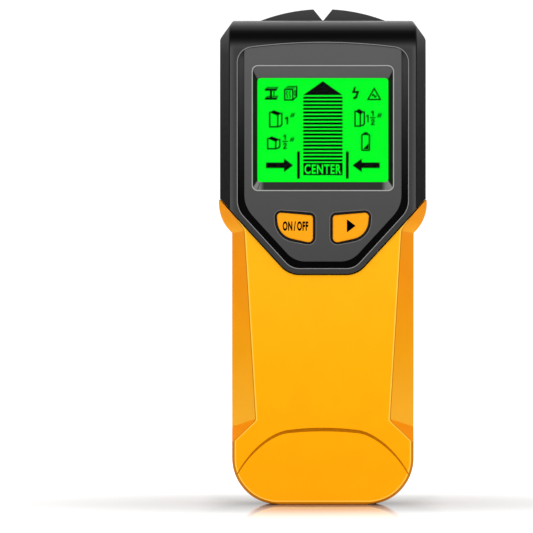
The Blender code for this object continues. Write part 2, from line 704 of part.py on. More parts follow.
def make_wire(name, side, material_name):
    """A battery lead from the snap, through the bay's notch, to the main board."""
    board_rear = BOARD_FRONT + BOARD_THICK
    route = [(side * 1.8, 1.5, BAY_Z[1] - 0.2), (side * 1.8, 1.5, BAY_Z[1] + 5),
             (side * 4.0, 2.6, 76.0), (side * 5.0, 0.8, 82.0), (side * 5.0, board_rear + GAP, 83.5)]
    curve = bpy.data.curves.new(name, "CURVE")
    curve.dimensions = "3D"
    curve.bevel_depth = 0.65 * MM
    curve.bevel_resolution = 1
    curve.use_fill_caps = True
    curve.resolution_u = 4
    path = curve.splines.new("NURBS")
    path.points.add(len(route) - 1)
    for point, place in zip(path.points, route):
        point.co = (*(Vector(place) * MM), 1)
    path.order_u = 3
    path.use_endpoint_u = True
    guide = bpy.data.objects.new(name + "_guide", curve)
    bpy.context.collection.objects.link(guide)
    graph = bpy.context.evaluated_depsgraph_get()
    mesh = bpy.data.meshes.new_from_object(guide.evaluated_get(graph))
    bpy.data.objects.remove(guide)
    bm = bmesh.new()
    bm.from_mesh(mesh)
    bmesh.ops.remove_doubles(bm, verts=bm.verts, dist=0.00001)
    bmesh.ops.scale(bm, vec=(1 / MM, 1 / MM, 1 / MM), verts=bm.verts)
    bpy.data.meshes.remove(mesh)
    finish(mesh_object(name, bm), material_name)


def make_door():
    door = box("battery_door", (-DOOR_HALF, DOOR_HALF), (BACK - DOOR_THICK, BACK), DOOR_Z)
    for side in (-1, 1):
        x = sorted((side * HOOK_X[0], side * HOOK_X[1]))
        stem_y = (HOOK_Y[0], BACK - DOOR_THICK + 0.5)
        join(door, box("hook_stem", x, stem_y, (DOOR_Z[1] - 1.6, DOOR_Z[1] - 0.1)))
        join(door, box("hook", x, HOOK_Y, (DOOR_Z[1] - 1.2, DOOR_Z[1] + HOOK_REACH)))
    for step in range(4):
        z = DOOR_Z[0] + 4 + 2.2 * step
        cut(door, box("grip_groove", (-6, 6), (BACK - 0.5, FAR), (z, z + 1.1)))
    finish(door, "yellow_shell")
    foam = box("door_foam", (-10, 10), (BATTERY_Y[1] + GAP, BACK - DOOR_THICK - GAP), (20, 48))
    finish(foam, "foam")
    hang([door, foam], "door_axis", (0, BACK, DOOR_Z[1]))


# ---------------------------------------------------------------- fasteners and pads

def make_case_screws():
    tip, top = CASE_SCREW_Y
    radius, thick = CASE_HEAD
    for place, (x, z) in CASE_SCREWS.items():
        for side, side_name in ((-1, "left"), (1, "right")):
            spot = (side * x, z)
            screw = rod_y(f"{place}_screw_{side_name}", spot, tip, top - thick / 2, CASE_SCREW_RADIUS, 10)
            join(screw, rod_y("head", spot, top - thick, top, radius))
            for wide, high in ((1.4, 0.3), (0.3, 1.4)):
                arm_x = (spot[0] - wide, spot[0] + wide)
                cut(screw, box("cross_arm", arm_x, (top - 0.7, FAR), (z - high, z + high)))
            finish(screw, "screw_steel")


def make_felt_pads():
    for side, side_name in ((-1, "left"), (1, "right")):
        x = sorted((side * PAD_X[0], side * PAD_X[1]))
        pad = box("felt_pad_" + side_name, x, (PAD_SEAT, BACK + PAD_PROUD), PAD_Z)
        finish(pad, "felt")


def clear_scene():
    for existing in list(bpy.data.objects):
        bpy.data.objects.remove(existing)


clear_scene()
make_head_front_cover()
make_head_rear_cover()
make_handle_front_shell()
make_handle_rear_shell()
make_face_panel()
make_display()
make_key("power", -1)
make_key("mode", 1)
make_main_board()
make_sensor_board()
make_battery()
make_wire("battery_wire_red", -1, "wire_red")
make_wire("battery_wire_black", 1, "wire_black")
make_door()
make_case_screws()
make_felt_pads()
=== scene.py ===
"""Looks of the handheld stud finder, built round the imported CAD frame.

Geometry is worked out in millimetres and becomes metres in mesh_object(). X runs to the right,
Y from the display side (-) to the wall side (+), Z up. Places and sizes come from the frame's
boxes; the named values below are the shape details that a box can't tell.
"""

import math
import random

import bmesh
import bpy
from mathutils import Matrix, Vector


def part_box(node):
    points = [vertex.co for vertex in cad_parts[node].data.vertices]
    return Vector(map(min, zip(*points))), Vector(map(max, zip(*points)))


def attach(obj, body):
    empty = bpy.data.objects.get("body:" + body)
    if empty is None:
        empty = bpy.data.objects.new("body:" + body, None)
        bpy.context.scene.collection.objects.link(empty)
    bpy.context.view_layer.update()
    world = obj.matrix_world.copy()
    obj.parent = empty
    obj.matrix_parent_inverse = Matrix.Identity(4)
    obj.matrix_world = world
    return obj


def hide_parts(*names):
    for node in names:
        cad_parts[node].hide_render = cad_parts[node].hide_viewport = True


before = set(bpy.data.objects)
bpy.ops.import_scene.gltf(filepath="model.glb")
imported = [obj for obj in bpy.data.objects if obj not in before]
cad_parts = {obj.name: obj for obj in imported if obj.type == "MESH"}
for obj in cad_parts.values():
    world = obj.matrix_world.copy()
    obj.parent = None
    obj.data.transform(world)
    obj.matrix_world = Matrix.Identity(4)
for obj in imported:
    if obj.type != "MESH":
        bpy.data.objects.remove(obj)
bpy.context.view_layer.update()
MM = 0.001
GAP = 0.3
SEAM = 0.22                                # half the visible gap between the head and the handle
FAR = 60.0


def extent(node):
    low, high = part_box(node)
    return low / MM, high / MM


# ---------------------------------------------------------------- places from the frame

HEAD_LOW, HEAD_HIGH = extent("head_front_cover")
REAR_LOW, REAR_HIGH = extent("head_rear_cover")
PANEL_LOW, PANEL_HIGH = extent("face_panel")
GLASS_LOW, GLASS_HIGH = extent("lcd_glass")
LENS_LOW, LENS_HIGH = extent("display_window")
DOOR_LOW, DOOR_HIGH = extent("battery_door")
BAY_LOW, BAY_HIGH = extent("battery_case")

HEAD_HALF = HEAD_HIGH.x
HEAD_FRONT = HEAD_LOW.y
BAR_TOP = HEAD_HIGH.z
RIDGE_TOP = REAR_HIGH.z
BACK = REAR_HIGH.y
SPLIT_HEIGHT = REAR_LOW.z - GAP / 2
PANEL_HALF = PANEL_HIGH.x
PANEL_FRONT = PANEL_LOW.y

# ---------------------------------------------------------------- shape details

WALL = 2.0
HEAD_FACE_HALF = 30.0                      # the head's front ends here, its side facets start
HEAD_SHOULDER = -7.0                       # depth at which the head's facets meet its sides
BAR_ROUND = 6.5                            # radius of the bar at the head's top
BACK_ROUND = 5.0                           # radius of the rear's long edges
CHAMFER = ((BAR_TOP - 5.9, HEAD_HALF), (BAR_TOP - 0.1, HEAD_HALF - 4.15))
RIDGE_RADIUS = 56.0                        # the ridge over the bar is an arc with a V notch
NOTCH_HALF = 3.1
LEDGE_DEPTH = 1.8                          # the panel's ledge, behind the bezel's front
LIP_DEPTH = 1.2                            # reach of the rear shells' lip to each side of the seam
TONGUE_HALF = 27.0                         # half-width of the tongue in the seam of the head's top wall

SCREW_SEAT = 2.6                           # radii of the counterbores and of the screw holes
SCREW_HOLE = 1.4
BOSS_FRONT = -11.6
DOOR_LEDGE = 11.25                         # depth at which the door's rim rests
HOOK_RISE = 1.5                            # the door's hooks reach this far over its edge
HOOK = (7.0, 10.4)
BAY_WALL = 1.2

HANDLE_HALF = 29.4
FOOT_FLAT = 14.4                           # the foot: half its flat, its corner radius, its front edge
FOOT_RADIUS = 15.0
FOOT_EDGE = 1.0
WING_RADIUS = 13.2                         # the wings: an arc between two heights
WING_START = 87.8
WING_TOP = 97.5
WING_SLOPE = 0.2                           # the wing's lower border rises inwards by this much
FRONT_DEPTH = ((FOOT_EDGE, -10.8), (24.0, -11.5), (74.5, -12.9), (101.0, -13.15))
FOOT_TOP = 20.3                            # the front narrows from this height on
FACE_NARROW = 21.6                         # half-width of the front at its narrowest
FACE_EDGE = ((FOOT_TOP - 0.1, HANDLE_HALF), (FOOT_TOP, 28.85), (27.2, FACE_NARROW), (89.0, 25.3),
             (95.2, 29.9), (101.0, 30.0))
FACET_LINE = (25.1, 27.8)                  # heights at which the foot's facet meets side and front
SHOULDER_DEPTH = ((FOOT_TOP - 0.1, -20.0), (FOOT_TOP, -10.8), (FACET_LINE[0], -6.0), (WING_START, -6.0),
                  (WING_TOP, -7.0))
CROWN = 0.25                               # the front's middle stands this far over its sides
FACE_STEP = 0.4                            # the front stands this far over its side facets
RIM = 0.85                                 # width of the foot's rim, seen from the front
EDGE_LIGHT = 0.3                           # width of the chamfer beside every edge of the front
EDGE_LINE = 0.45                           # width of the pale line that these edges show
CREASE_TOP = 24.3                          # foot groove: a flat arch, then a curve down to each side
CREASE_CURVE = ((11.5, 23.6), (16.5, 22.9), (23.5, 17.5), (27.7, 9.8))

OPENING_HALF = 27.7                        # the bezel's opening, with a crowned top
OPENING_BOTTOM = (10.2, PANEL_LOW.z - 2.3)
OPENING_TOP = PANEL_HIGH.z + GAP
OPENING_CROWN = 180.0
DIAGONAL = math.radians(47.5)              # slope of the bezel's lower corners
TO_HANDLE = -1.9                           # insets from the opening: handle, panel and panel's ledge
TO_PANEL = OPENING_HALF - PANEL_HALF
TO_LEDGE = 3.7

GLASS_HALF = 21.15                         # the seen part of the display
GLASS_Z = (104.4, 137.95)
FRAME_HALF = 22.8                          # the front edge of the sloping frame round it
FRAME_Z = (101.7, 142.0)
FUNNEL_BACK = PANEL_HIGH.y

DISPLAY_MIDDLE = sum(GLASS_Z) / 2
BAR_COUNT = 18                             # display bars: number, half-width, spacing and thickness
BAR_HALF = 6.35
BAR_PITCH = 1.19
BAR_THICK = 0.7
LINE = 0.46                                # thin strokes of the display symbols

KEY_INNER = 3.2                            # a key's inner and outer side
KEY_OUTER = 15.0
KEY_TOP = (93.6, 94.6)                     # its top edge rises outwards
KEY_BOTTOM = 84.55
KEY_GAP = 0.88                             # dark gap round each key
KEY_SWEEP = (14.3, 87.0, 6.0)              # outer-lower corner (x, z) and its radius


# ---------------------------------------------------------------- mesh helpers

def mesh_object(name, bm):
    """Turn a bmesh in millimetres into an object in metres."""
    bmesh.ops.recalc_face_normals(bm, faces=bm.faces)
    bmesh.ops.scale(bm, vec=(MM, MM, MM), verts=bm.verts)
    mesh = bpy.data.meshes.new(name)
    bm.to_mesh(mesh)
    bm.free()
    made = bpy.data.objects.new(name, mesh)
    bpy.context.scene.collection.objects.link(made)
    return made


def loft(name, rings, closed=False):
    """Skin a stack of rings of (x, y, z) points; cap both ends, or join the last to the first."""
    bm = bmesh.new()
    rows = [[bm.verts.new(point) for point in ring] for ring in rings]
    count = len(rows[0])
    pairs = list(zip(rows, rows[1:]))
    if closed:
        pairs.append((rows[-1], rows[0]))
    for low, high in pairs:
        for i in range(count):
            j = (i + 1) % count
            bm.faces.new((low[i], low[j], high[j], high[i]))
    if not closed:
        bm.faces.new(rows[0])
        bm.faces.new(rows[-1])
    return mesh_object(name, bm)


def prism(name, outline, y_low, y_high):
    return loft(name, [[(x, y, z) for x, z in outline] for y in (y_low, y_high)])


def box_mesh(low, high):
    bm = bmesh.new()
    bmesh.ops.create_cube(bm, size=1)
    bmesh.ops.scale(bm, vec=high - low, verts=bm.verts)
    bmesh.ops.translate(bm, vec=(high + low) / 2, verts=bm.verts)
    return bm


def box(name, x, y, z):
    low, high = zip(x, y, z)
    return mesh_object(name, box_mesh(Vector(low), Vector(high)))


def circle(radius, sides, centre=(0.0, 0.0)):
    turns = [2 * math.pi * i / sides for i in range(sides)]
    return [(centre[0] + radius * math.cos(t), centre[1] + radius * math.sin(t)) for t in turns]


def rod_y(name, at, y_low, y_high, radius, sides=32):
    return prism(name, circle(radius, sides, at), y_low, y_high)


def combine(target, tool, operation):
    """Apply a Boolean with a throw-away tool object."""
    modifier = target.modifiers.new("combine", "BOOLEAN")
    modifier.operation = operation
    modifier.object = tool
    graph = bpy.context.evaluated_depsgraph_get()
    result = bpy.data.meshes.new_from_object(target.evaluated_get(graph))
    target.modifiers.clear()
    target.data = result
    bpy.data.objects.remove(tool)
    return target


def cut(target, tool):
    return combine(target, tool, "DIFFERENCE")


def join(target, tool):
    return combine(target, tool, "UNION")


def keep_inside(target, tool):
    return combine(target, tool, "INTERSECT")


def fillet(corners, steps=6):
    """Round the (x, z, radius) corners of a closed outline with arcs; a radius of 0 stays sharp."""
    outline = []
    for i, (x, z, radius) in enumerate(corners):
        here = Vector((x, z))
        to_last = (Vector(corners[i - 1][:2]) - here).normalized()
        to_next = (Vector(corners[(i + 1) % len(corners)][:2]) - here).normalized()
        half = to_last.angle(to_next) / 2
        if radius == 0:
            outline.append((x, z))
            continue
        if math.pi / 2 - half < 0.001:
            # a corner that hardly turns still gives as many points, so that rings match
            outline += [(x, z + 0.001 * step) for step in range(steps + 1)]
            continue
        centre = here + (to_last + to_next).normalized() * radius / math.sin(half)
        first = here + to_last * radius / math.tan(half) - centre
        turn = math.pi - 2 * half
        if first.x * to_last.y - first.y * to_last.x > 0:
            turn = -turn
        for step in range(steps + 1):
            angle = turn * step / steps
            outline.append((centre.x + first.x * math.cos(angle) - first.y * math.sin(angle),
                            centre.y + first.x * math.sin(angle) + first.y * math.cos(angle)))
    return outline


def rectangle(x, z, radius, top_radius=None, steps=6):
    """A rectangle between two x and two z values, with round corners."""
    top = radius if top_radius is None else top_radius
    return fillet([(x[0], z[0], radius), (x[1], z[0], radius), (x[1], z[1], top), (x[0], z[1], top)], steps)


def along(table, at):
    """Straight-line interpolation through (position, value) pairs."""
    if at <= table[0][0]:
        return table[0][1]
    for (a, low), (b, high) in zip(table, table[1:]):
        if at <= b:
            return low + (high - low) * (at - a) / (b - a)
    return table[-1][1]


def soften(table, reach, steps=5):
    """Round the inner corners of a (position, value) table with short curves."""
    points = [Vector(p) for p in table]
    result = [points[0]]
    for before, here, after in zip(points, points[1:], points[2:]):
        start = here + (before - here).normalized() * min(reach, (before - here).length * 0.45)
        end = here + (after - here).normalized() * min(reach, (after - here).length * 0.45)
        for step in range(steps + 1):
            t = step / steps
            result.append(start * (1 - t) ** 2 + here * 2 * t * (1 - t) + end * t * t)
    result.append(points[-1])
    return [tuple(p) for p in result]


def mirrored(points):
    return list(points) + [(-p[0], *p[1:]) for p in reversed(points)]


def spread(low, high, count):
    return [low + (high - low) * i / count for i in range(count + 1)]


def tube(name, path, radii, sides=8, closed=True, deeper=1.0):
    """A bead along a path of (x, y, z) points; its section can be deeper than wide."""
    rings = []
    count = len(path)
    for i, point in enumerate(path):
        here = Vector(point)
        if closed:
            ahead = Vector(path[(i + 1) % count]) - Vector(path[i - 1])
        else:
            ahead = Vector(path[min(i + 1, count - 1)]) - Vector(path[max(i - 1, 0)])
        ahead.normalize()
        side = ahead.cross(Vector((0, 1, 0))).normalized()
        up = side.cross(ahead)
        radius = radii[i] if isinstance(radii, list) else radii
        rings.append([tuple(here + side * radius * math.cos(t) + up * radius * deeper * math.sin(t))
                      for t in [2 * math.pi * k / sides for k in range(sides)]])
    return loft(name, rings, closed)


# ---------------------------------------------------------------- materials

def linear(colour):
    """sRGB 0-255 to linear RGBA; a plain number is a grey, and a node's socket stays as it is."""
    if isinstance(colour, bpy.types.NodeSocket):
        return colour
    if isinstance(colour, (int, float)):
        colour = (colour, colour, colour)
    values = [c / 255 for c in colour]
    return (*[v / 12.92 if v <= 0.04045 else ((v + 0.055) / 1.055) ** 2.4 for v in values], 1.0)


class Shader:
    """A small wrapper that builds one node tree. An input is a socket or a plain value."""

    def __init__(self, name):
        self.material = bpy.data.materials.new(name)
        self.material.use_nodes = True
        self.tree = self.material.node_tree
        self.principled = self.tree.nodes["Principled BSDF"]
        self.where = self.out("TexCoord", "Object")

    def out(self, kind, output=0, inputs=None, **settings):
        """Add a node and return one of its outputs."""
        made = self.tree.nodes.new("ShaderNode" + kind)
        for key, value in settings.items():
            setattr(made, key, value)
        for key, value in (inputs or {}).items():
            self.put(made.inputs[key], value)
        return made.outputs[output]

    def put(self, socket, value):
        if isinstance(value, bpy.types.NodeSocket):
            self.tree.links.new(value, socket)
        else:
            socket.default_value = value

    def set(self, **values):
        """Set inputs of the Principled node, named with _ for a space."""
        for name, value in values.items():
            self.put(self.principled.inputs[name.replace("_", " ")], value)

    def show(self, surface):
        """Send another surface than the Principled node to the output."""
        self.put(self.tree.nodes["Material Output"].inputs["Surface"], surface)

    def math(self, operation, a, b=0.0):
        return self.out("Math", 0, {0: a, 1: b}, operation=operation)

    def absolute(self, value):
        return self.math("ABSOLUTE", value)

    def all_of(self, *masks):
        result = masks[0]
        for mask in masks[1:]:
            result = self.math("MULTIPLY", result, mask)
        return result

    def axis(self, letter):
        """A coordinate of the shaded point, in millimetres."""
        return self.math("DIVIDE", self.out("SeparateXYZ", letter, {"Vector": self.where}), MM)

    def facing(self, letter):
        """A component of the surface's own normal."""
        return self.out("SeparateXYZ", letter, {"Vector": self.out("TexCoord", "Normal")})

    def between(self, value, low, high, to_low=0.0, to_high=1.0, smooth=True):
        limits = {"Value": value, "From Min": low, "From Max": high, "To Min": to_low, "To Max": to_high}
        return self.out("MapRange", "Result", limits, interpolation_type="SMOOTHSTEP" if smooth else "LINEAR")

    def over(self, value, edge, soft=0.1):
        """1 where the value is over an edge, fading to 0 at the edge."""
        return self.between(value, edge, edge + soft)

    def under(self, value, edge, soft=0.1):
        """1 where the value is under an edge, fading to 0 at the edge."""
        return self.between(value, edge, edge - soft)

    def within(self, value, low, high, soft=0.1):
        return self.all_of(self.over(value, low, soft), self.under(value, high, soft))

    def table(self, value, pairs):
        """Straight-line interpolation through (position, value) pairs, as nodes."""
        total = pairs[0][1]
        for (low, first), (high, last) in zip(pairs, pairs[1:]):
            total = self.math("ADD", total, self.between(value, low, high, 0.0, last - first, smooth=False))
        return total

    def mix(self, factor, a, b, blend="MIX"):
        colours = {0: factor, 6: linear(a), 7: linear(b)}
        return self.out("Mix", 2, colours, data_type="RGBA", blend_type=blend)

    def grey(self, value):
        return self.out("CombineXYZ", 0, {0: value, 1: value, 2: value})

    def tint(self, colour, value):
        """Multiply a colour by a number."""
        return self.mix(1.0, colour, self.grey(value), "MULTIPLY")

    def ramp(self, value, stops):
        """A colour that runs through (value, sRGB colour) stops."""
        low, high = stops[0][0], stops[-1][0]
        result = self.out("ValToRGB", "Color", {"Fac": self.between(value, low, high, smooth=False)})
        elements = result.node.color_ramp.elements
        while len(elements) < len(stops):
            elements.new(0.5)
        for element, (position, colour) in zip(elements, stops):
            element.position = (position - low) / (high - low)
        for element, (position, colour) in zip(elements, stops):
            element.color = linear(colour)
        return result

    def noise(self, size, detail=3.0, stretch=(1, 1, 1)):
        """Noise whose features are about this many millimetres."""
        spot = self.out("Mapping", 0, {"Vector": self.where, "Scale": stretch})
        return self.out("TexNoise", "Fac", {"Vector": spot, "Scale": 1 / (size * MM), "Detail": detail})

    def mottle(self, size, low=0.0, high=1.0):
        """Values between two limits that wander over patches of this many millimetres."""
        return self.between(self.noise(size), 0.3, 0.7, low, high)

    def bump(self, height, distance, strength):
        raised = {"Height": height, "Distance": distance * MM, "Strength": strength}
        self.set(Normal=self.out("Bump", "Normal", raised))

    def edges(self, radius):
        """About 1 on edges and 0 on flats, over this many millimetres."""
        rounded = self.out("Bevel", "Normal", {"Radius": radius * MM}, samples=4)
        normal = self.out("NewGeometry", "Normal")
        alike = self.out("VectorMath", "Value", {0: rounded, 1: normal}, operation="DOT_PRODUCT")
        return self.between(alike, 0.995, 0.86)


def moulded(shader, colour, roughness, grain=0.25, edge=0.25, gloss=0.12):
    """Moulded plastic: faint mottling, fine spark-eroded texture and edges lightened as a painted highlight.
    """
    toned = shader.tint(colour, shader.mottle(9.0, 0.985, 1.015))
    # painted highlight: edges are lightened towards 1.6 times the plastic's colour
    painted_edge_light = shader.math("MULTIPLY", shader.edges(0.35), edge)
    shader.set(Base_Color=shader.mix(painted_edge_light, toned, shader.tint(toned, 1.6)), Specular_IOR_Level=gloss,
               Roughness=shader.mottle(1.8, roughness - 0.05, roughness + 0.06))
    shader.bump(shader.noise(grain, 2.0), 0.012, 0.5)
    return shader.material


def plain_plastic(name, colour, roughness=0.45, **options):
    return moulded(Shader(name), colour, roughness, **options)


def foot_inset(shader, across, height):
    """How far a point of the front lies inside the foot's outline."""
    sideways = shader.math("MAXIMUM", shader.math("SUBTRACT", across, FOOT_FLAT), 0.0)
    downwards = shader.math("MAXIMUM", shader.math("SUBTRACT", FOOT_RADIUS, height), 0.0)
    from_centre = shader.out("CombineXYZ", 0, {0: sideways, 1: downwards})
    return shader.math("SUBTRACT", FOOT_RADIUS,
                       shader.out("VectorMath", "Value", {0: from_centre}, operation="LENGTH"))


def front_sink(shader, across, height, depth):
    """How deep a point lies under the handle's crowned front."""
    crown = shader.math("MULTIPLY", shader.math("POWER", across, 2.0), CROWN / HANDLE_HALF ** 2)
    surface = shader.math("ADD", shader.table(height, FRONT_DEPTH), crown)
    return shader.math("SUBTRACT", depth, surface)


def over_line(shader, across, height, start, slope):
    """How far a point lies over a line that starts at the handle's side and rises inwards."""
    line = shader.math("SUBTRACT", start + HANDLE_HALF * slope, shader.math("MULTIPLY", across, slope))
    return shader.math("SUBTRACT", height, line)


def facet_colour(shader, across, height):
    """Painted shade on the side facets: deep at the foot's triangle and the wing, paler towards the foot."""
    long_facet = shader.ramp(height, [(26.0, (242, 172, 40)), (50.0, (238, 156, 10)), (74.0, (240, 144, 0))])
    wing = shader.ramp(height, [(88.0, (246, 168, 30)), (92.0, (240, 150, 4)), (98.0, (236, 142, 0))])
    foot_slope = (FACET_LINE[1] - FACET_LINE[0]) / (HANDLE_HALF - FACE_NARROW)
    over_foot = over_line(shader, across, height, FACET_LINE[0], foot_slope)
    over_wing = over_line(shader, across, height, WING_START, WING_SLOPE)
    colour = shader.mix(shader.under(over_foot, 0.1, 0.2), long_facet, (244, 142, 4))
    return shader.mix(shader.over(over_wing, -0.1, 0.2), colour, wing)


def yellow_plastic():
    """Warm yellow with painted light and shade: lighter towards the top, painted shade on the side facets, in
    the groove, at the step and round the foot's rim, and painted highlight lines beside the front's edges.
    """
    shader = Shader("yellow_plastic")
    height = shader.axis("Z")
    depth = shader.axis("Y")
    across = shader.absolute(shader.axis("X"))
    inset = foot_inset(shader, across, height)
    sunk = front_sink(shader, across, height, depth)
    to_edge = shader.math("SUBTRACT", shader.table(height, FACE_EDGE), across)
    ahead = shader.under(depth, -5.0, 1.5)
    low = shader.under(height, FOOT_TOP + 0.2, 0.2)
    high = shader.over(height, FOOT_TOP, 0.2)

    # painted light: the yellow is lighter towards the top, and a little lighter again at the foot
    front = shader.ramp(height, [(0.0, (255, 172, 4)), (12.0, (255, 168, 0)), (45.0, (255, 173, 2)),
                                 (90.0, (255, 182, 22))])
    # painted shade: front surfaces that lean sideways take the darker facet colours
    leaning = shader.under(shader.absolute(shader.facing("Y")), 0.93, 0.08)
    colour = shader.mix(shader.all_of(leaning, ahead), front, facet_colour(shader, across, height))

    lit_rim = shader.all_of(shader.within(inset, RIM, RIM + EDGE_LINE, 0.08), low)
    lit_edge = shader.all_of(shader.within(to_edge, 0.0, EDGE_LINE, 0.08), high)
    lit = shader.all_of(shader.math("MAXIMUM", lit_rim, lit_edge), ahead)
    colour = shader.mix(lit, colour, (255, 200, 74))

    # painted shade: the foot's groove is coloured darker orange
    groove = shader.all_of(shader.within(sunk, 0.06, 1.6), shader.under(across, 28.0, 0.2),
                           shader.within(height, 3.0, CREASE_TOP + 0.9),
                           shader.under(shader.math("ADD", height, across), 48.0, 0.4))
    colour = shader.mix(groove, colour, (210, 140, 10))

    # painted shade: a darker line round the foot's rim and along the step beside the front
    rim = shader.all_of(shader.under(inset, RIM, 0.08), low)
    step = shader.all_of(shader.within(sunk, 0.18, FACE_STEP + 0.14, 0.06), high)
    dark = shader.all_of(shader.math("MAXIMUM", rim, step), ahead)
    colour = shader.mix(dark, colour, (196, 122, 0))
    return moulded(shader, colour, 0.45, edge=0.15, gloss=0.05)


def black_plastic():
    """Dark plastic with painted light and shade: the bar's painted reflection runs from grey through black,
    the band lightens towards its sides, the side facets and the bezel's groove are painted darkest below, the
    facets' crease gets a painted shade line and the rear's top is painted lighter.
    """
    shader = Shader("black_plastic")
    height = shader.axis("Z")
    depth = shader.axis("Y")
    across = shader.absolute(shader.axis("X"))
    band = shader.ramp(across, [(27.0, 58), (28.6, 61), (29.6, 74), (30.0, 80)])
    # painted reflection: the bar runs from grey at the bezel through black to pale grey at its top
    bar = shader.ramp(height, [(147.0, 78), (148.5, 60), (149.8, 30), (150.5, 16), (151.1, 6),
                               (152.2, 4), (153.2, 17), (154.6, 58), (156.5, 114)])
    # painted shade: the side facets darken towards the bottom
    side = shader.ramp(height, [(96.0, 10), (118.0, 22), (146.0, 46), (151.0, 66), (156.0, 78)])
    # painted shade: the groove behind the bezel's opening is black at the bottom and lightens upwards
    groove = shader.ramp(height, [(76.0, 4), (100.0, 8), (115.0, 32), (128.0, 54), (144.0, 78), (148.0, 80)])
    # painted light: the rear is lighter over its top 6 mm
    rear = shader.ramp(height, [(BAR_TOP - 6.0, 48), (BAR_TOP, 74)])
    colour = shader.mix(shader.over(height, 147.0, 2.0), band, bar)
    colour = shader.mix(shader.over(across, HEAD_FACE_HALF), colour, side)
    # painted shade: a dark line along the crease between the front and the side facets
    crease = shader.all_of(shader.within(across, HEAD_FACE_HALF - 0.02, HEAD_FACE_HALF + 0.44, 0.06),
                           shader.under(depth, -10.5, 1.0))
    colour = shader.mix(crease, colour, 8)
    inside = shader.all_of(shader.under(across, OPENING_HALF + 0.7, 0.2), shader.under(depth, -10.0, 0.5),
                           shader.over(depth, HEAD_FRONT + 0.3, 0.3), shader.under(height, 150.4, 0.2))
    colour = shader.mix(inside, colour, groove)
    colour = shader.mix(shader.over(depth, HEAD_SHOULDER - 1.0, 3.0), colour, rear)
    return moulded(shader, colour, 0.42, edge=0.3, gloss=0.03)


def panel_plastic():
    """Grey panel with painted light and shade: lighter towards the top, the walls round the display painted
    by the way they face, with painted highlights in their lower corners, and painted shade on the key holes'
    walls.
    """
    shader = Shader("panel_plastic")
    height = shader.axis("Z")
    across = shader.absolute(shader.axis("X"))
    ahead = shader.absolute(shader.facing("Y"))
    angle = shader.math("ARCTAN2", shader.facing("Z"), shader.absolute(shader.facing("X")))
    # painted light: the panel is lighter towards the top
    flat = shader.ramp(height, [(PANEL_LOW.z, 66), (PANEL_HIGH.z, 87)])
    # painted light and shade: each wall of the display's recess takes a grey by the way it faces
    wall = shader.ramp(angle, [(-1.57, 73), (-1.3, 75), (-1.0, 92), (-0.6, 40), (-0.3, 10), (0.0, 16),
                               (0.3, 22), (0.7, 140), (1.15, 120), (1.3, 48), (1.57, 42)])
    # painted highlight in the lower corners of the display's recess
    corner = shader.all_of(shader.over(across, 18.8, 2.2), shader.over(angle, 0.9, 0.4))
    wall = shader.mix(corner, wall, 128)
    recess = shader.all_of(shader.under(across, FRAME_HALF + 0.3), shader.under(ahead, 0.9),
                           shader.within(height, FRAME_Z[0] - 0.3, FRAME_Z[1] + 0.3))
    colour = shader.mix(recess, flat, wall)
    # painted shade: the key holes' walls are nearly black
    key_hole = shader.all_of(shader.under(ahead, 0.8, 0.2), shader.under(height, KEY_TOP[1] + 2.0, 0.5))
    return moulded(shader, shader.mix(key_hole, colour, 5), 0.4, grain=0.2, edge=0.0)


def glow(name, colour):
    """Back-lit display ground: even light with the faint unevenness of a light guide."""
    shader = Shader(name)
    uneven = shader.between(shader.noise(14.0, 1.0), 0.25, 0.75, 0.97, 1.0)
    shader.set(Base_Color=linear(0), Roughness=shader.mottle(0.8, 0.35, 0.5), Specular_IOR_Level=0.0,
               Emission_Color=shader.tint(colour, uneven), Emission_Strength=1.0)
    return shader.material


def ink(name, colour):
    """Printed ink or a driven display segment."""
    shader = Shader(name)
    shader.set(Base_Color=shader.tint(colour, shader.mottle(0.6, 0.8, 1.2)), Specular_IOR_Level=0.0,
               Roughness=shader.mottle(0.4, 0.45, 0.6))
    return shader.material


def clear_acrylic():
    """A thin clear window: almost all of the light passes, with a weak surface gloss."""
    shader = Shader("clear_acrylic")
    clear = shader.out("BsdfTransparent", 0, {"Color": (0.99, 1.0, 0.99, 1)})
    gloss = shader.out("BsdfGlossy", 0, {"Roughness": shader.mottle(3.0, 0.05, 0.09)})
    shader.show(shader.out("MixShader", 0, {0: 0.004, 1: clear, 2: gloss}))
    return shader.material


def rubber():
    """Black rubber with a little dust."""
    shader = Shader("black_rubber")
    dust = shader.between(shader.noise(0.8, 5.0), 0.45, 0.75, 0.0, 0.25)
    shader.set(Base_Color=shader.mix(dust, 20, (62, 62, 60)), Roughness=shader.mottle(0.5, 0.68, 0.86))
    shader.bump(shader.noise(0.15), 0.02, 0.5)
    return shader.material


def metal(name, colour, roughness, brush_axis=2):
    """Plated metal with fine drawn lines along one axis and a few duller patches."""
    shader = Shader(name)
    stretch = [1.0, 1.0, 1.0]
    stretch[brush_axis] = 0.03
    streak = shader.noise(0.15, 2.0, stretch)
    dull = shader.between(shader.noise(2.5, 4.0), 0.35, 0.7, 0.85, 1.05)
    shader.set(Base_Color=shader.tint(colour, dull), Metallic=1.0,
               Roughness=shader.between(streak, 0.3, 0.7, roughness - 0.08, roughness + 0.12))
    shader.bump(streak, 0.01, 0.3)
    return shader.material


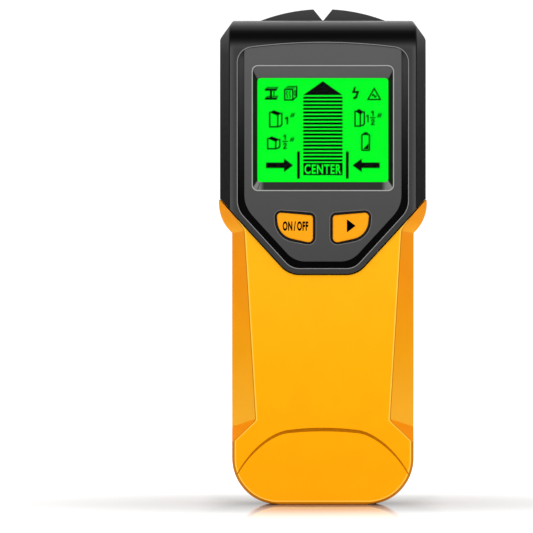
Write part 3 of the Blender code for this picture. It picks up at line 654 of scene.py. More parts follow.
def circuit_board():
    """Green solder mask over a maze of tracks, with tinned pads."""
    shader = Shader("circuit_board")
    maze = {"Vector": shader.where, "Scale": 170.0, "Mortar Size": 0.035,
            "Color1": linear(0), "Color2": linear(0), "Mortar": linear(255)}
    tracks = shader.out("TexBrick", "Color", maze)
    dots = shader.out("TexVoronoi", "Distance", {"Vector": shader.where, "Scale": 420.0, "Randomness": 0.55})
    pad = shader.between(dots, 0.16, 0.13)
    mask = shader.mix(shader.mottle(4.0), (14, 84, 46), (22, 104, 58))
    tracked = shader.mix(tracks, mask, (48, 136, 70))
    shader.set(Base_Color=shader.mix(pad, tracked, (196, 196, 186)), Roughness=0.32,
               Metallic=shader.math("MULTIPLY", pad, 0.9))
    raised = shader.math("MULTIPLY", tracks.node.outputs["Fac"], 0.5)
    shader.bump(shader.math("ADD", raised, pad), 0.03, 0.6)
    return shader.material


def felt_fabric():
    shader = Shader("felt")
    fibre = shader.noise(0.22, 6.0)
    shader.set(Base_Color=shader.mix(shader.between(fibre, 0.3, 0.7), (22, 22, 24), (58, 58, 60)),
               Roughness=0.95, Sheen_Weight=0.4, Sheen_Roughness=0.5)
    shader.bump(fibre, 0.18, 0.9)
    return shader.material


def foam_material():
    shader = Shader("foam")
    cells = shader.out("TexVoronoi", "Distance", {"Vector": shader.where, "Scale": 1400.0})
    wall = shader.between(cells, 0.1, 0.5)
    shader.set(Base_Color=shader.mix(wall, (26, 26, 28), (74, 74, 76)), Roughness=0.95)
    shader.bump(wall, 0.12, 0.8)
    return shader.material


def battery_wrap():
    """Unmarked battery jacket: brushed steel above a plain green band with a slanting top."""
    shader = Shader("battery_wrap")
    middle = BAY_LOW.z + 0.62 * (BAY_HIGH.z - BAY_LOW.z)
    slanted = shader.math("ADD", shader.axis("Z"), shader.math("MULTIPLY", shader.axis("X"), 0.35))
    band = shader.under(slanted, middle + 0.05)
    grain = shader.noise(0.3, 3.0, (1, 1, 0.05))
    steel = shader.mix(shader.between(grain, 0.3, 0.7), (150, 150, 154), (196, 196, 200))
    shader.set(Base_Color=shader.mix(band, steel, (16, 96, 62)),
               Metallic=shader.between(band, 0.0, 1.0, 0.9, 0.1),
               Roughness=shader.between(grain, 0.3, 0.7, 0.25, 0.42))
    shader.bump(grain, 0.01, 0.3)
    return shader.material


# ---------------------------------------------------------------- finishing a piece

def soften_edges(piece, width, angle):
    """Round the edges sharper than this angle, and keep the flats shaded flat."""
    soft = piece.modifiers.new("soft_edges", "BEVEL")
    soft.width = width * MM
    soft.segments = 2
    soft.limit_method = "ANGLE"
    soft.angle_limit = math.radians(angle)
    even = piece.modifiers.new("even_shading", "WEIGHTED_NORMAL")
    even.keep_sharp = True


def finish(piece, material, body, nodes=(), bevel=0.0, smooth_angle=34):
    """Give a piece its material, soft edges and shading, then tie it to its body and hide the CAD nodes it
    stands for.
    """
    mesh = piece.data
    mesh.name = piece.name
    mesh.materials.clear()
    mesh.materials.append(material)
    mesh.polygons.foreach_set("material_index", [0] * len(mesh.polygons))
    mesh.shade_smooth()
    mesh.set_sharp_from_angle(angle=math.radians(smooth_angle))
    if bevel:
        soften_edges(piece, bevel, 38)
        graph = bpy.context.evaluated_depsgraph_get()
        piece.data = bpy.data.meshes.new_from_object(piece.evaluated_get(graph))
        piece.modifiers.clear()
    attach(piece, body)
    if nodes:
        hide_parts(*nodes)
    return piece


# ---------------------------------------------------------------- casing envelopes

def ring_across(half, face, front, shoulder, back, z, crown=0.0, step=0.0, facet=None):
    """A ring across the tool: crowned front, stepped side facets, side walls and a round back."""
    edge_y = front + crown
    inner = (face - EDGE_LIGHT, edge_y)
    edge_y += 0.25 * EDGE_LIGHT
    top = (face, edge_y)
    foot_of_step = (face + 0.8 * step, edge_y + step)
    outer = (half, max(shoulder, edge_y + step + 0.9))
    if facet is None:
        facet = tuple(a + (b - a) * 0.04 for a, b in zip(foot_of_step, outer))
    right = [(face * part, front + crown * part * part, 0) for part in (0.25, 0.5, 0.75)]
    right += [(*inner, 0), (*top, 0.1), (*foot_of_step, 0.08), (*facet, 0.12), (*outer, 1.6),
              (half, back, BACK_ROUND)]
    return [(x, y, z) for x, y in fillet(mirrored(right))]


def rounded_edge(radius, depth):
    """How far an edge of this radius has pulled back, this far short of its end."""
    short = max(radius - depth, 0.0)
    return radius - math.sqrt(radius * radius - short * short)


def handle_half(z, inset=0.0):
    """Half-width of the handle, or of its outline moved inwards."""
    if z < FOOT_RADIUS:
        return FOOT_FLAT + math.sqrt(max((FOOT_RADIUS - inset) ** 2 - (FOOT_RADIUS - z) ** 2, 0))
    if z < WING_START:
        return HANDLE_HALF - inset
    start = math.sqrt(1 - ((WING_TOP - WING_START) / WING_RADIUS) ** 2)
    centre = HANDLE_HALF - WING_RADIUS * start
    return centre + math.sqrt(WING_RADIUS ** 2 - max(WING_TOP - z, 0) ** 2) - inset


def facet_point(z, face, half, front):
    """Where the foot's small facet meets the side facet, at this height."""
    outer_z, inner_z = FACET_LINE
    if not outer_z < z < inner_z:
        return None
    upper_face = along(FACE_EDGE, inner_z)
    x = half + (upper_face - half) * (z - outer_z) / (inner_z - outer_z)
    x = min(max(x, face + 0.3), half - 0.3)
    shoulder = along(SHOULDER_DEPTH, z)
    top = front + FACE_STEP
    return x, top + (shoulder - top) * (x - upper_face) / (half - upper_face)


def handle_envelope(name):
    """The handle's outside, in rings from the foot's flat up to the head."""
    foot = [FOOT_RADIUS * (1 - math.cos(math.radians(a))) for a in spread(0, 90, 24)]
    stations = foot + spread(16.5, 20.0, 2) + spread(20.3, 28.4, 18) + spread(32, 84, 6)
    stations += spread(86.5, WING_TOP, 26) + [99.0, 101.0]
    face_edge = soften(FACE_EDGE, 1.2)
    rings = []
    for z in stations:
        half = handle_half(z)
        edge = rounded_edge(FOOT_EDGE, z)
        front = along(FRONT_DEPTH, z) + edge
        crown = min(CROWN, max(z - FOOT_EDGE, 0) * 0.05)
        face = min(along(face_edge, z), max(handle_half(z, RIM), half - 3 * RIM), half - 0.4)
        point = facet_point(z, face, half, front)
        rings.append(ring_across(half, face, front, along(SHOULDER_DEPTH, z), BACK - edge, z, crown,
                                 FACE_STEP, point))
    return loft(name, rings)


def head_envelope(name):
    """The head's outside: chamfered shoulders and the rounded bar at its top."""
    chamfer = soften(((BAR_TOP - 20, HEAD_HALF), *CHAMFER, (BAR_TOP, CHAMFER[1][1] - 0.6)), 0.9)
    bar_low = BAR_TOP - BAR_ROUND
    bar = [bar_low + BAR_ROUND * math.sin(math.radians(a)) for a in spread(0, 90, 24)]
    rings = []
    for z in [70.0, 90.0, 110.0, 130.0, 140.0, *bar]:
        front = HEAD_FRONT + rounded_edge(BAR_ROUND, BAR_TOP - z)
        back = BACK - rounded_edge(3.0, BAR_TOP - z)
        half = along(chamfer, z)
        face = min(HEAD_FACE_HALF, half - 0.55)
        rings.append(ring_across(half, face, front, HEAD_SHOULDER, back, z, 0.0, 0.1))
    return loft(name, rings)


def inner_envelope(name, outer_half, z_low, z_high, front, wall):
    """The hollow inside a casing, between two heights."""
    rings = []
    for z in spread(z_low, z_high, 40):
        half = outer_half(z) - wall
        corners = mirrored([(half - 5.0, front(z) + wall, 1.5), (half, -5.0, 1.5), (half, BACK - wall, 3.0)])
        rings.append([(x, y, z) for x, y in fillet(corners, 4)])
    return loft(name, rings)


def handle_hollow(name, wall=WALL):
    def inner_half(z):
        if z < FOOT_RADIUS:
            radius = FOOT_RADIUS - wall
            return FOOT_FLAT + wall + math.sqrt(max(radius ** 2 - (FOOT_RADIUS - z) ** 2, 0))
        return handle_half(z)

    return inner_envelope(name, inner_half, wall, 101.5, lambda z: along(FRONT_DEPTH, z), wall)


def head_hollow(name, wall=WALL):
    def inner_half(z):
        return along(((0, HEAD_HALF), *CHAMFER), z)

    return inner_envelope(name, inner_half, 69.0, BAR_TOP - wall, lambda z: HEAD_FRONT + 0.8, wall)


def bezel_corner(inset):
    """Where the bezel's flat bottom turns into its diagonal, for an inset outline."""
    sine, cosine = math.sin(DIAGONAL), math.cos(DIAGONAL)
    x = OPENING_BOTTOM[0] - inset * sine + inset * math.tan(DIAGONAL / 2) * cosine
    return x, OPENING_BOTTOM[1] + inset


def bezel_outline(inset, top_inset, rounding=6.0, top_round=5.0, steps=8):
    """Closed outline parallel to the bezel opening: arched top, sloping lower corners."""
    side = OPENING_HALF - inset
    low_x, low_z = bezel_corner(inset)
    elbow_z = low_z + (side - low_x) * math.tan(DIAGONAL)
    crown = [(side * part, OPENING_TOP - top_inset - (side * part) ** 2 / (2 * OPENING_CROWN))
             for part in (1.0, 0.8, 0.65, 0.5, 0.35, 0.2, 0.07)]
    right = [(low_x, low_z, rounding), (side, elbow_z, rounding * 1.25),
             (*crown[0], top_round), *[(x, z, 0) for x, z in crown[1:]]]
    return fillet(mirrored(right), steps)


def head_region(offset):
    """Everything above the line where the head meets the handle, moved up by an offset."""
    low_x, low_z = bezel_corner(TO_HANDLE + offset)
    side_z = SPLIT_HEIGHT + offset
    split_x = low_x + (side_z - low_z) / math.tan(DIAGONAL)
    right = [(low_x, low_z, 8.0), (split_x, side_z, 1.2), (FAR, side_z, 0), (FAR, 4 * FAR, 0)]
    return fillet(mirrored(right), 8)


def halved(shell, front):
    """Keep the front or the rear half of a casing."""
    y = (-FAR, -GAP / 2) if front else (GAP / 2, FAR)
    return keep_inside(shell, box("half", (-FAR, FAR), y, (-FAR, 4 * FAR)))


def add_lip(shell, hollow, z_range):
    """A lip inside the rear shell that reaches behind the front shell's edge."""
    for wall, y in ((WALL - 0.1, (GAP / 2, LIP_DEPTH)), (WALL + GAP, (-LIP_DEPTH, LIP_DEPTH))):
        lip = hollow("lip", wall)
        cut(lip, hollow("lip_core", WALL + GAP + 0.8))
        keep_inside(lip, box("band", (-FAR, FAR), y, z_range))
        join(shell, lip)
    return shell


def counterbored(shell, at, rear):
    """Screw bosses: a blind pilot hole in front, a counterbore behind."""
    for side in (-1, 1):
        spot = (side * at[0], at[1])
        if rear:
            join(shell, rod_y("boss", spot, GAP, BACK - 1.0, SCREW_SEAT + 0.8))
            cut(shell, rod_y("counterbore", spot, 7.5, FAR, SCREW_SEAT))
            cut(shell, rod_y("clearance", spot, -FAR, 8.5, SCREW_HOLE))
        else:
            join(shell, rod_y("boss", spot, BOSS_FRONT, -GAP, 2 * SCREW_HOLE))
            cut(shell, rod_y("pilot", spot, -8.5, FAR, SCREW_HOLE))
    return shell


def screw_place(name):
    """Distance from the middle and height of a screw's axis."""
    low, high = extent(name)
    return (abs(low.x + high.x) / 2, (low.z + high.z) / 2)


# ---------------------------------------------------------------- casing pieces

def make_head_bezel(material):
    """The head's front: bar, side facets, the opening with its ledge, and screw bosses."""
    cover = cut(head_envelope("head_bezel"), head_hollow("inside"))
    keep_inside(cover, prism("region", head_region(SEAM), -FAR, -GAP / 2))
    cut(cover, prism("recess", bezel_outline(0, 0), -FAR, HEAD_FRONT + LEDGE_DEPTH))
    cut(cover, prism("ledge_hole", bezel_outline(TO_LEDGE, TO_LEDGE, 6.0, 1.5), -FAR, 0))
    counterbored(cover, screw_place("head_screw_right"), False)
    for name in ("board_screw_upper_right", "board_screw_lower_right"):
        x, z = screw_place(name)
        for side in (-1, 1):
            join(cover, rod_y("boss", (side * x, z), BOSS_FRONT, -4.3, 2.1, 20))
            cut(cover, rod_y("pilot", (side * x, z), -10.0, 0, 1.1, 16))
    return finish(cover, material, "root", ["head_front_cover"], bevel=0.12)


def ridge_outline():
    """The arched ridge over the bar, with the V notch that marks the tool's middle."""
    centre_z = RIDGE_TOP - math.sqrt(RIDGE_RADIUS ** 2 - NOTCH_HALF ** 2)
    base = BAR_TOP - 1.0
    widest = math.sqrt(RIDGE_RADIUS ** 2 - (base - centre_z) ** 2)
    arc = [(x, centre_z + math.sqrt(RIDGE_RADIUS ** 2 - x * x)) for x in spread(widest, NOTCH_HALF, 14)]
    return mirrored([*arc, (0.15, BAR_TOP + 0.1)])


def make_head_back(material):
    """The head's rear: ridge, lip, tongue, counterbores and recesses for the felt."""
    cover = cut(head_envelope("head_back"), head_hollow("inside"))
    join(cover, prism("ridge", ridge_outline(), -1, BACK - 2.0))
    halved(cover, False)
    keep_inside(cover, box("above", (-FAR, FAR), (-FAR, FAR), (SPLIT_HEIGHT + GAP / 2, 4 * FAR)))
    add_lip(cover, head_hollow, (SPLIT_HEIGHT + GAP / 2, BAR_TOP))
    join(cover, box("tongue", (-TONGUE_HALF, TONGUE_HALF), (-GAP / 3, LIP_DEPTH),
                    (BAR_TOP - WALL - 0.5, BAR_TOP - 0.5)))
    counterbored(cover, screw_place("head_screw_right"), True)
    for side in ("left", "right"):
        low, high = extent("felt_pad_" + side)
        cut(cover, box("recess", (low.x - GAP, high.x + GAP), (low.y - GAP, FAR),
                       (low.z - GAP, high.z + GAP)))
    return finish(cover, material, "root", ["head_rear_cover"], bevel=0.15)


def crease_path():
    """The arched groove over the foot, as (x, z) points from the middle to the right end."""
    a, b, c, d = (Vector(p) for p in CREASE_CURVE)
    drop = (CREASE_TOP - a.y) / a.x ** 2
    points = [(x, CREASE_TOP - drop * x * x) for x in spread(0, a.x, 8)[:-1]]
    for t in spread(0, 1, 24):
        u = 1 - t
        points.append(tuple(a * u ** 3 + b * 3 * t * u * u + c * 3 * t * t * u + d * t ** 3))
    return points


def make_handle_front(material):
    """The handle's front, cut to the bezel's lower edge, with the foot's groove."""
    shell = cut(handle_envelope("handle_front"), handle_hollow("inside"))
    halved(shell, True)
    cut(shell, prism("head_side", head_region(-SEAM), -FAR, FAR))
    right = crease_path()
    path = [(-x, z) for x, z in reversed(right[1:])] + right
    centre_line = [(x, along(FRONT_DEPTH, z) + CROWN * (x / HANDLE_HALF) ** 2, z) for x, z in path]
    radii = [0.6 - 0.4 * (x / path[0][0]) ** 2 for x, z in path]
    cut(shell, tube("groove", centre_line, radii, 12, False, 2.0))
    counterbored(shell, screw_place("handle_screw_right"), False)
    return finish(shell, material, "root", ["handle_front_shell"], bevel=0.12)


def add_battery_bay(shell):
    """Walls round the battery, the door's opening and ledge, slots for its hooks, a notch for wires."""
    half = BAY_HIGH.x + 0.65
    low, high = BAY_LOW.z - 0.6, BAY_HIGH.z + 6.1
    front = BAY_LOW.y - GAP
    door_half = DOOR_HIGH.x
    door_low, door_top = DOOR_LOW.z, DOOR_HIGH.z - HOOK_RISE
    join(shell, box("flange", (-door_half - 2.0, door_half + 2.0), (DOOR_LEDGE - 1.5, BACK - 1.2),
                    (door_low - 2.0, door_top + 2.0)))
    join(shell, box("walls", (-half - BAY_WALL, half + BAY_WALL), (front - 0.9, BACK - 1.0),
                    (low - BAY_WALL, high + BAY_WALL)))
    cut(shell, box("bay", (-half, half), (front, FAR), (low, high)))
    hole = rectangle((-door_half - GAP, door_half + GAP), (door_low - GAP, door_top + GAP), 1.5, 0.6)
    cut(shell, prism("door_hole", hole, DOOR_LEDGE, FAR))
    for side in (-1, 1):
        slot = sorted((side * (HOOK[0] - 0.5), side * (HOOK[1] + 0.5)))
        cut(shell, box("hook_slot", slot, (8.55, DOOR_LEDGE + GAP), (high - 3, door_top + 2.1)))
    cut(shell, box("wire_notch", (-4.0, 4.0), (-1.0, 4.0), (high - 1, high + 3)))


def cut_sound_holes(shell):
    low, high = extent("buzzer")
    for step in range(-2, 3):
        spot = ((low.x + high.x) / 2 + 3.0 * step, (low.z + high.z) / 2)
        cut(shell, rod_y("sound_hole", spot, 9, FAR, 0.8, 20))


def make_handle_back(material):
    shell = cut(handle_envelope("handle_back"), handle_hollow("inside"))
    halved(shell, False)
    keep_inside(shell, box("below", (-FAR, FAR), (-FAR, FAR), (-FAR, SPLIT_HEIGHT - GAP / 2)))
    add_lip(shell, handle_hollow, (-FAR, SPLIT_HEIGHT - GAP / 2))
    add_battery_bay(shell)
    counterbored(shell, screw_place("handle_screw_right"), True)
    cut_sound_holes(shell)
    return finish(shell, material, "root", ["handle_rear_shell"], bevel=0.15)


# ---------------------------------------------------------------- panel, display and keys

def rounded_frame(half, z_range, radius, y):
    return [(x, y, z) for x, z in rectangle((-half, half), z_range, radius)]


def key_outline(side, grow=0.0, steps=8):
    """Outline of a key: straight top and inner side, swept outer-lower corner."""
    inner = KEY_INNER - grow
    sweep_x, sweep_z, sweep_radius = KEY_SWEEP
    corners = [(inner, KEY_BOTTOM - grow, 1.5 + grow), (inner, KEY_TOP[0] + grow, 1.1 + grow),
               (KEY_OUTER + grow, KEY_TOP[1] + grow, 1.3 + grow),
               (sweep_x + grow, sweep_z - grow, sweep_radius + grow)]
    return [(side * x, z) for x, z in fillet(corners, steps)]


def make_panel(material):
    """The panel: a plate, a block round the display, a funnel to the glass and two key holes."""
    panel_back = HEAD_FRONT + LEDGE_DEPTH - GAP
    panel = prism("panel_plate", bezel_outline(TO_PANEL, GAP, 8.0, 1.0), PANEL_FRONT, panel_back)
    block_half = LENS_HIGH.x + 1.0
    join(panel, box("block", (-block_half, block_half), (PANEL_FRONT + 0.6, FUNNEL_BACK),
                    (FRAME_Z[0] - 1.1, FRAME_Z[1] + 1.0)))
    depth = FUNNEL_BACK - PANEL_FRONT
    rings = []
    for part in (-0.4, 1.4):
        half = FRAME_HALF + (GLASS_HALF - FRAME_HALF) * part
        z_range = [a + (b - a) * part for a, b in zip(FRAME_Z, GLASS_Z)]
        rings.append(rounded_frame(half, z_range, 1.8 - 0.7 * part, PANEL_FRONT + depth * part))
    cut(panel, loft("funnel", rings))
    for side in (-1, 1):
        cut(panel, prism("key_hole", key_outline(side, KEY_GAP), -FAR, 0))
    return finish(panel, material, "root", ["face_panel"], bevel=0.1)


def edge_bead(name, outline, y, radius, material):
    """A thin pale bead along an edge: a painted highlight that stands in for the light on the rolled edge of
    a moulding.
    """
    return finish(tube(name, [(x, y, z) for x, z in outline], radius), material, "root")


def make_edge_beads(frame_material, middle_material, dim_material):
    edge_bead("bezel_opening_edge", bezel_outline(0, 0), HEAD_FRONT + 0.06, 0.14, middle_material)
    half = FRAME_HALF + 0.05
    frame_edge = rectangle((-half, half), (FRAME_Z[0] - 0.05, FRAME_Z[1] + 0.05), 1.8)
    edge_bead("display_frame_edge", frame_edge, PANEL_FRONT + 0.02, 0.18, frame_material)
    for side, name in ((-1, "power"), (1, "mode")):
        key_edge = key_outline(side, KEY_GAP + 0.08)
        edge_bead(name + "_key_hole_edge", key_edge, PANEL_FRONT + 0.05, 0.11, dim_material)


def make_display(glass, lens):
    """Green ground and the clear window in front of it."""
    half = GLASS_HIGH.x
    ground = loft("lcd_ground", [rounded_frame(half, (GLASS_LOW.z, GLASS_HIGH.z), 0.4, y)
                                 for y in (GLASS_LOW.y, GLASS_HIGH.y)])
    finish(ground, glass, "root", ["lcd_glass"])
    window = loft("display_lens", [rounded_frame(half, (LENS_LOW.z, LENS_HIGH.z), 0.5, y)
                                   for y in (LENS_LOW.y, LENS_HIGH.y)])
    finish(window, lens, "root", ["display_window"])


class Drawing:
    """Flat symbols made of thin slabs, drawn in (u, v) millimetres from the display's middle."""

    def __init__(self, y_front, y_back):
        self.bm = bmesh.new()
        self.depth = (y_front, y_back)

    def area(self, outline):
        rows = [[self.bm.verts.new((u, y, DISPLAY_MIDDLE + v)) for u, v in outline] for y in self.depth]
        count = len(outline)
        for i in range(count):
            j = (i + 1) % count
            self.bm.faces.new((rows[0][i], rows[0][j], rows[1][j], rows[1][i]))
        self.bm.faces.new(rows[0])
        self.bm.faces.new(rows[1])

    def bar(self, u, v):
        self.area([(u[0], v[0]), (u[1], v[0]), (u[1], v[1]), (u[0], v[1])])

    def stroke(self, points, width=LINE, closed=False):
        ends = list(points[1:]) + ([points[0]] if closed else [])
        for start, end in zip(points, ends):
            a, b = Vector(start), Vector(end)
            ahead = (b - a).normalized() * width / 2
            side = Vector((-ahead.y, ahead.x))
            start, end = a - ahead, b + ahead
            self.area([start - side, end - side, end + side, start + side])

    def timber(self, u, v, width, height):
        """A stud seen from the corner: sloping black top, two outlined faces."""
        drop, reach, rise = 1.05, 1.3, 0.75
        left = (u, v + height)
        right = (u + width, v + height - drop)
        far = (right[0] + reach, right[1] + rise)
        self.area([left, (left[0] + reach, left[1] + rise), far, right])
        self.stroke([left, (u, v), (u + width, v), right])
        self.stroke([(u + width, v), (u + width + reach * 0.75, v + 0.35), (far[0], v + 0.8), far])

    def inch_mark(self, u, v):
        for shift in (0, 0.65):
            self.stroke([(u + shift, v), (u + shift + 0.3, v + 0.9)], 0.42)

    def one(self, u, v, width):
        stem = u[1] - width / 2
        flag = (u[0], v[1] - 0.35 * width - 0.25)
        self.stroke([flag, (stem, v[1] - width / 2), (stem, v[0] + width / 2)], width)

    def half(self, u, v):
        """One over two, stacked round a rule at (u, v)."""
        self.one((u - 0.4, u + 0.3), (v + 0.55, v + 2.2), 0.42)
        self.stroke([(u - 0.75, v), (u + 0.75, v)], 0.38)
        two = [(u - 0.42, v - 1.0), (u - 0.2, v - 0.68), (u + 0.18, v - 0.68), (u + 0.42, v - 1.05),
               (u - 0.42, v - 2.2), (u + 0.48, v - 2.2)]
        self.stroke(two, 0.38)


def draw_signal(drawing):
    """Arrowhead, signal bars, the box under them and the pointers at its sides."""
    top = BAR_PITCH * (BAR_COUNT - 1) - 9.79 + BAR_THICK / 2
    drawing.area([(-6.4, 11.3), (6.4, 11.3), (0, 15.8)])
    for step in range(BAR_COUNT):
        high = top - BAR_PITCH * step
        drawing.bar((-BAR_HALF, BAR_HALF), (high - BAR_THICK, high))
    drawing.bar((-BAR_HALF, BAR_HALF), (-14.6, -10.6))
    for side in (-1, 1):
        drawing.bar(sorted((side * 7.45, side * 8.35)), (-15.7, -6.95))
        pointer = [(18.4, -10.5), (12.6, -10.5), (12.6, -9.2), (9.6, -11.4), (12.6, -13.6), (12.6, -12.3),
                   (18.4, -12.3)]
        drawing.area([(side * u, v) for u, v in pointer])


def draw_beam(drawing):
    """Steel beam: two flanges with depth, joined by a web."""
    for v in (10.2, 13.1):
        drawing.stroke([(-18.4, v), (-15.2, v)], 0.75)
        drawing.stroke([(-18.4, v), (-17.8, v + 0.7), (-14.6, v + 0.7), (-15.2, v)], 0.3)
    drawing.bar((-17.15, -16.45), (10.2, 13.1))
    drawing.bar((-16.0, -15.65), (10.8, 13.1))


def draw_wood(drawing):
    """Timber block with grain lines on two faces."""
    left, right, low, high = -12.35, -9.75, 9.75, 13.15
    drawing.stroke([(left, low), (right, low), (right, high), (left, high)], LINE, True)
    reach, rise = 1.25, 0.95
    for part in (0.0, 0.5, 1.0):
        v = high + rise * part
        drawing.stroke([(left + 0.85 * part, v), (right + reach * part, v)], 0.3)
    drawing.stroke([(right, low), (right + reach, low + 1.1), (right + reach, high + rise)])
    for shift in (0.75, 1.65):
        wave = [(left + shift + 0.2 * math.sin(3.4 * t), low + 0.7 + t) for t in spread(0, 2.1, 8)]
        drawing.stroke(wave, 0.3)
    ring = [(right + 0.7 + 0.26 * math.cos(a), 12.0 + 0.85 * math.sin(a)) for a in spread(0, 2 * math.pi, 12)]
    drawing.stroke(ring, 0.26)


def draw_live_wire(drawing):
    """Bolt and, right of it, a triangle round a small wave."""
    drawing.stroke([(9.95 + 0.4, 13.6), (9.85, 12.3), (11.35, 12.3), (10.75, 10.75)], 0.62)
    drawing.area([(9.7, 10.75), (11.5, 10.75), (10.1, 9.85)])
    drawing.stroke([(14.6, 9.9), (18.6, 9.9), (16.6, 13.45)], 0.44, True)
    wave = [(16.0 + t, 11.1 + 0.42 * math.sin(5.2 * t)) for t in spread(0, 1.2, 12)]
    drawing.stroke(wave, 0.38)


def draw_charge(drawing):
    """Battery symbol with a nearly empty level."""
    drawing.stroke(rectangle((12.6, 15.05), (-6.55, -1.4), 0.4, steps=3), LINE, True)
    drawing.bar((13.2, 14.5), (-1.35, -0.7))
    drawing.area([(13.0, -6.2), (14.75, -6.2), (14.75, -4.3)])


def lettering(name, words, x, z, depth, material, body, bold=0.0):
    """Raised print that fills the given x and z ranges."""
    curve = bpy.data.curves.new(name, "FONT")
    curve.body = words
    curve.extrude = 0.1
    curve.offset = bold
    curve.space_word = 0.4
    curve.space_character = 1.14
    holder = bpy.data.objects.new(name, curve)
    bpy.context.scene.collection.objects.link(holder)
    graph = bpy.context.evaluated_depsgraph_get()
    mesh = bpy.data.meshes.new_from_object(holder.evaluated_get(graph))
    bpy.data.objects.remove(holder)
    bm = bmesh.new()
    bm.from_mesh(mesh)
    bmesh.ops.remove_doubles(bm, verts=bm.verts, dist=1e-5)
    low = [min(v.co[i] for v in bm.verts) for i in range(3)]
    high = [max(v.co[i] for v in bm.verts) for i in range(3)]
    for vertex in bm.verts:
        parts = [(vertex.co[i] - low[i]) / (high[i] - low[i]) for i in (0, 2, 1)]
        vertex.co = [first + (last - first) * part for part, (first, last) in zip(parts, (x, depth, z))]
    return finish(mesh_object(name, bm), material, body)


def make_segments(black, green):
    """The driven segments of the display, a hair in front of the green ground."""
    front, back = GLASS_LOW.y - 0.07, GLASS_LOW.y + 0.05
    drawing = Drawing(front, back)
    draw_signal(drawing)
    draw_beam(drawing)
    draw_wood(drawing)
    draw_live_wire(drawing)
    draw_charge(drawing)
    drawing.timber(-17.2, 1.05, 2.6, 4.65)
    drawing.timber(-17.85, -6.05, 2.6, 3.3)
    drawing.timber(10.4, 1.3, 1.7, 4.8)
    for u, v in ((-10.3, 4.35), (-10.45, -3.5), (17.85, 4.3)):
        drawing.inch_mark(u, v)
    drawing.one((-12.05, -11.25), (1.85, 4.25), 0.5)
    drawing.one((14.2, 14.8), (2.5, 4.9), 0.42)
    drawing.half(-12.25, -3.7)
    drawing.half(16.15, 4.0)
    finish(mesh_object("lcd_segments", drawing.bm), black, "root")
    z = [DISPLAY_MIDDLE + height for height in (-14.2, -11.05)]
    lettering("display_word", "CENTER", (-5.95, 5.95), z, (front - 0.05, front + 0.03), green, "root", 0.03)


def make_key(name, side, material):
    """A keycap with a rounded upper edge."""
    low, high = extent(name + "_keycap")
    rings = []
    for inset, depth in ((0.9, 0.0), (0.35, 0.08), (0.08, 0.3), (0.0, 0.6), (0.0, high.y - low.y)):
        rings.append([(x, low.y + depth, z) for x, z in key_outline(side, -inset)])
    cap = loft(name + "_cap", rings)
    return finish(cap, material, name + "_key", [name + "_keycap"], smooth_angle=50)


def make_legends(black):
    """Print on the keys: a word on the left one, a forward triangle on the right one."""
    face = extent("power_keycap")[0].y
    depth = (face - 0.03, face + 0.15)
    lettering("power_legend", "ON / OFF", (-13.0, -4.7), (88.65, 91.7), depth, black, "power_key", 0.045)
    arrow = fillet([(7.75, 88.1, 0.1), (10.6, 90.25, 0.1), (7.75, 92.4, 0.1)], 3)
    finish(prism("mode_legend", arrow, *depth), black, "mode_key")


# ---------------------------------------------------------------- door, pads and screws

def make_door(material):
    """The door with two hooks on its upper edge and four grip grooves."""
    top = DOOR_HIGH.z - HOOK_RISE
    half = DOOR_HIGH.x
    door = prism("door_panel", rectangle((-half, half), (DOOR_LOW.z, top), 1.2, 0.4), BACK - 1.6, BACK)
    for side in (-1, 1):
        x = sorted((side * HOOK[0], side * HOOK[1]))
        join(door, box("stem", x, (DOOR_LOW.y, BACK - 1.1), (top - 1.6, top - 0.1)))
        join(door, box("hook", x, (DOOR_LOW.y, DOOR_LOW.y + 1.2), (top - 1.2, DOOR_HIGH.z)))
    for step in range(4):
        z = DOOR_LOW.z + 4 + 2.2 * step
        groove = rectangle((-6 - step, 6 + step), (z, z + 1.1), 0.5)
        cut(door, prism("grip", groove, BACK - 0.5, FAR))
    return finish(door, material, "door", ["battery_door"], bevel=0.15)


def make_felt_pad(side, material):
    """A felt strip with softened edges and a slightly uneven face."""
    node = "felt_pad_" + side
    low, high = extent(node)
    bm = box_mesh(low, high)
    long_edges = [edge for edge in bm.edges if edge.calc_length() > 5]
    bmesh.ops.subdivide_edges(bm, edges=long_edges, cuts=24, use_grid_fill=True)
    random.seed(node)
    for vertex in bm.verts:
        edge = min(vertex.co.x - low.x, high.x - vertex.co.x, vertex.co.z - low.z, high.z - vertex.co.z)
        if vertex.co.y > low.y + 0.1:
            vertex.co.y -= 0.22 * max(1 - edge / 0.5, 0) + random.uniform(0, 0.05)
    return finish(mesh_object("felt_" + side, bm), material, "root", [node], smooth_angle=60)


def make_screw(node, material):
    """Pan-head screw with a cross recess and a threaded shank."""
    low, high = extent(node)
    x, z = (low.x + high.x) / 2, (low.z + high.z) / 2
    radius = (high.x - low.x) / 2
    profile = ((1.8, 1.0), (0.9, 1.0), (0.35, 0.86), (0.08, 0.55), (0.0, 0.2))
    rings = [[(px, high.y - under, pz) for px, pz in circle(radius * part, 32, (x, z))]
             for under, part in profile]
    head = loft(node + "_seen", rings)
    shank = []
    pitch, root_radius, thread = 0.8, 0.78, 0.22
    for y in spread(low.y, high.y - 1.7, 60):
        crest = 0.5 + 0.5 * math.cos(2 * math.pi * (y - low.y) / pitch)
        shank.append([(px, y, pz) for px, pz in circle(root_radius + thread * crest, 16, (x, z))])
    join(head, loft("shank", shank))
    slot_reach, slot_half = 1.3, 0.28
    for wide, tall in ((slot_reach, slot_half), (slot_half, slot_reach)):
        cut(head, box("arm", (x - wide, x + wide), (high.y - 0.75, FAR), (z - tall, z + tall)))
    return finish(head, material, "root", [node])


# ---------------------------------------------------------------- everything else keeps its CAD shape

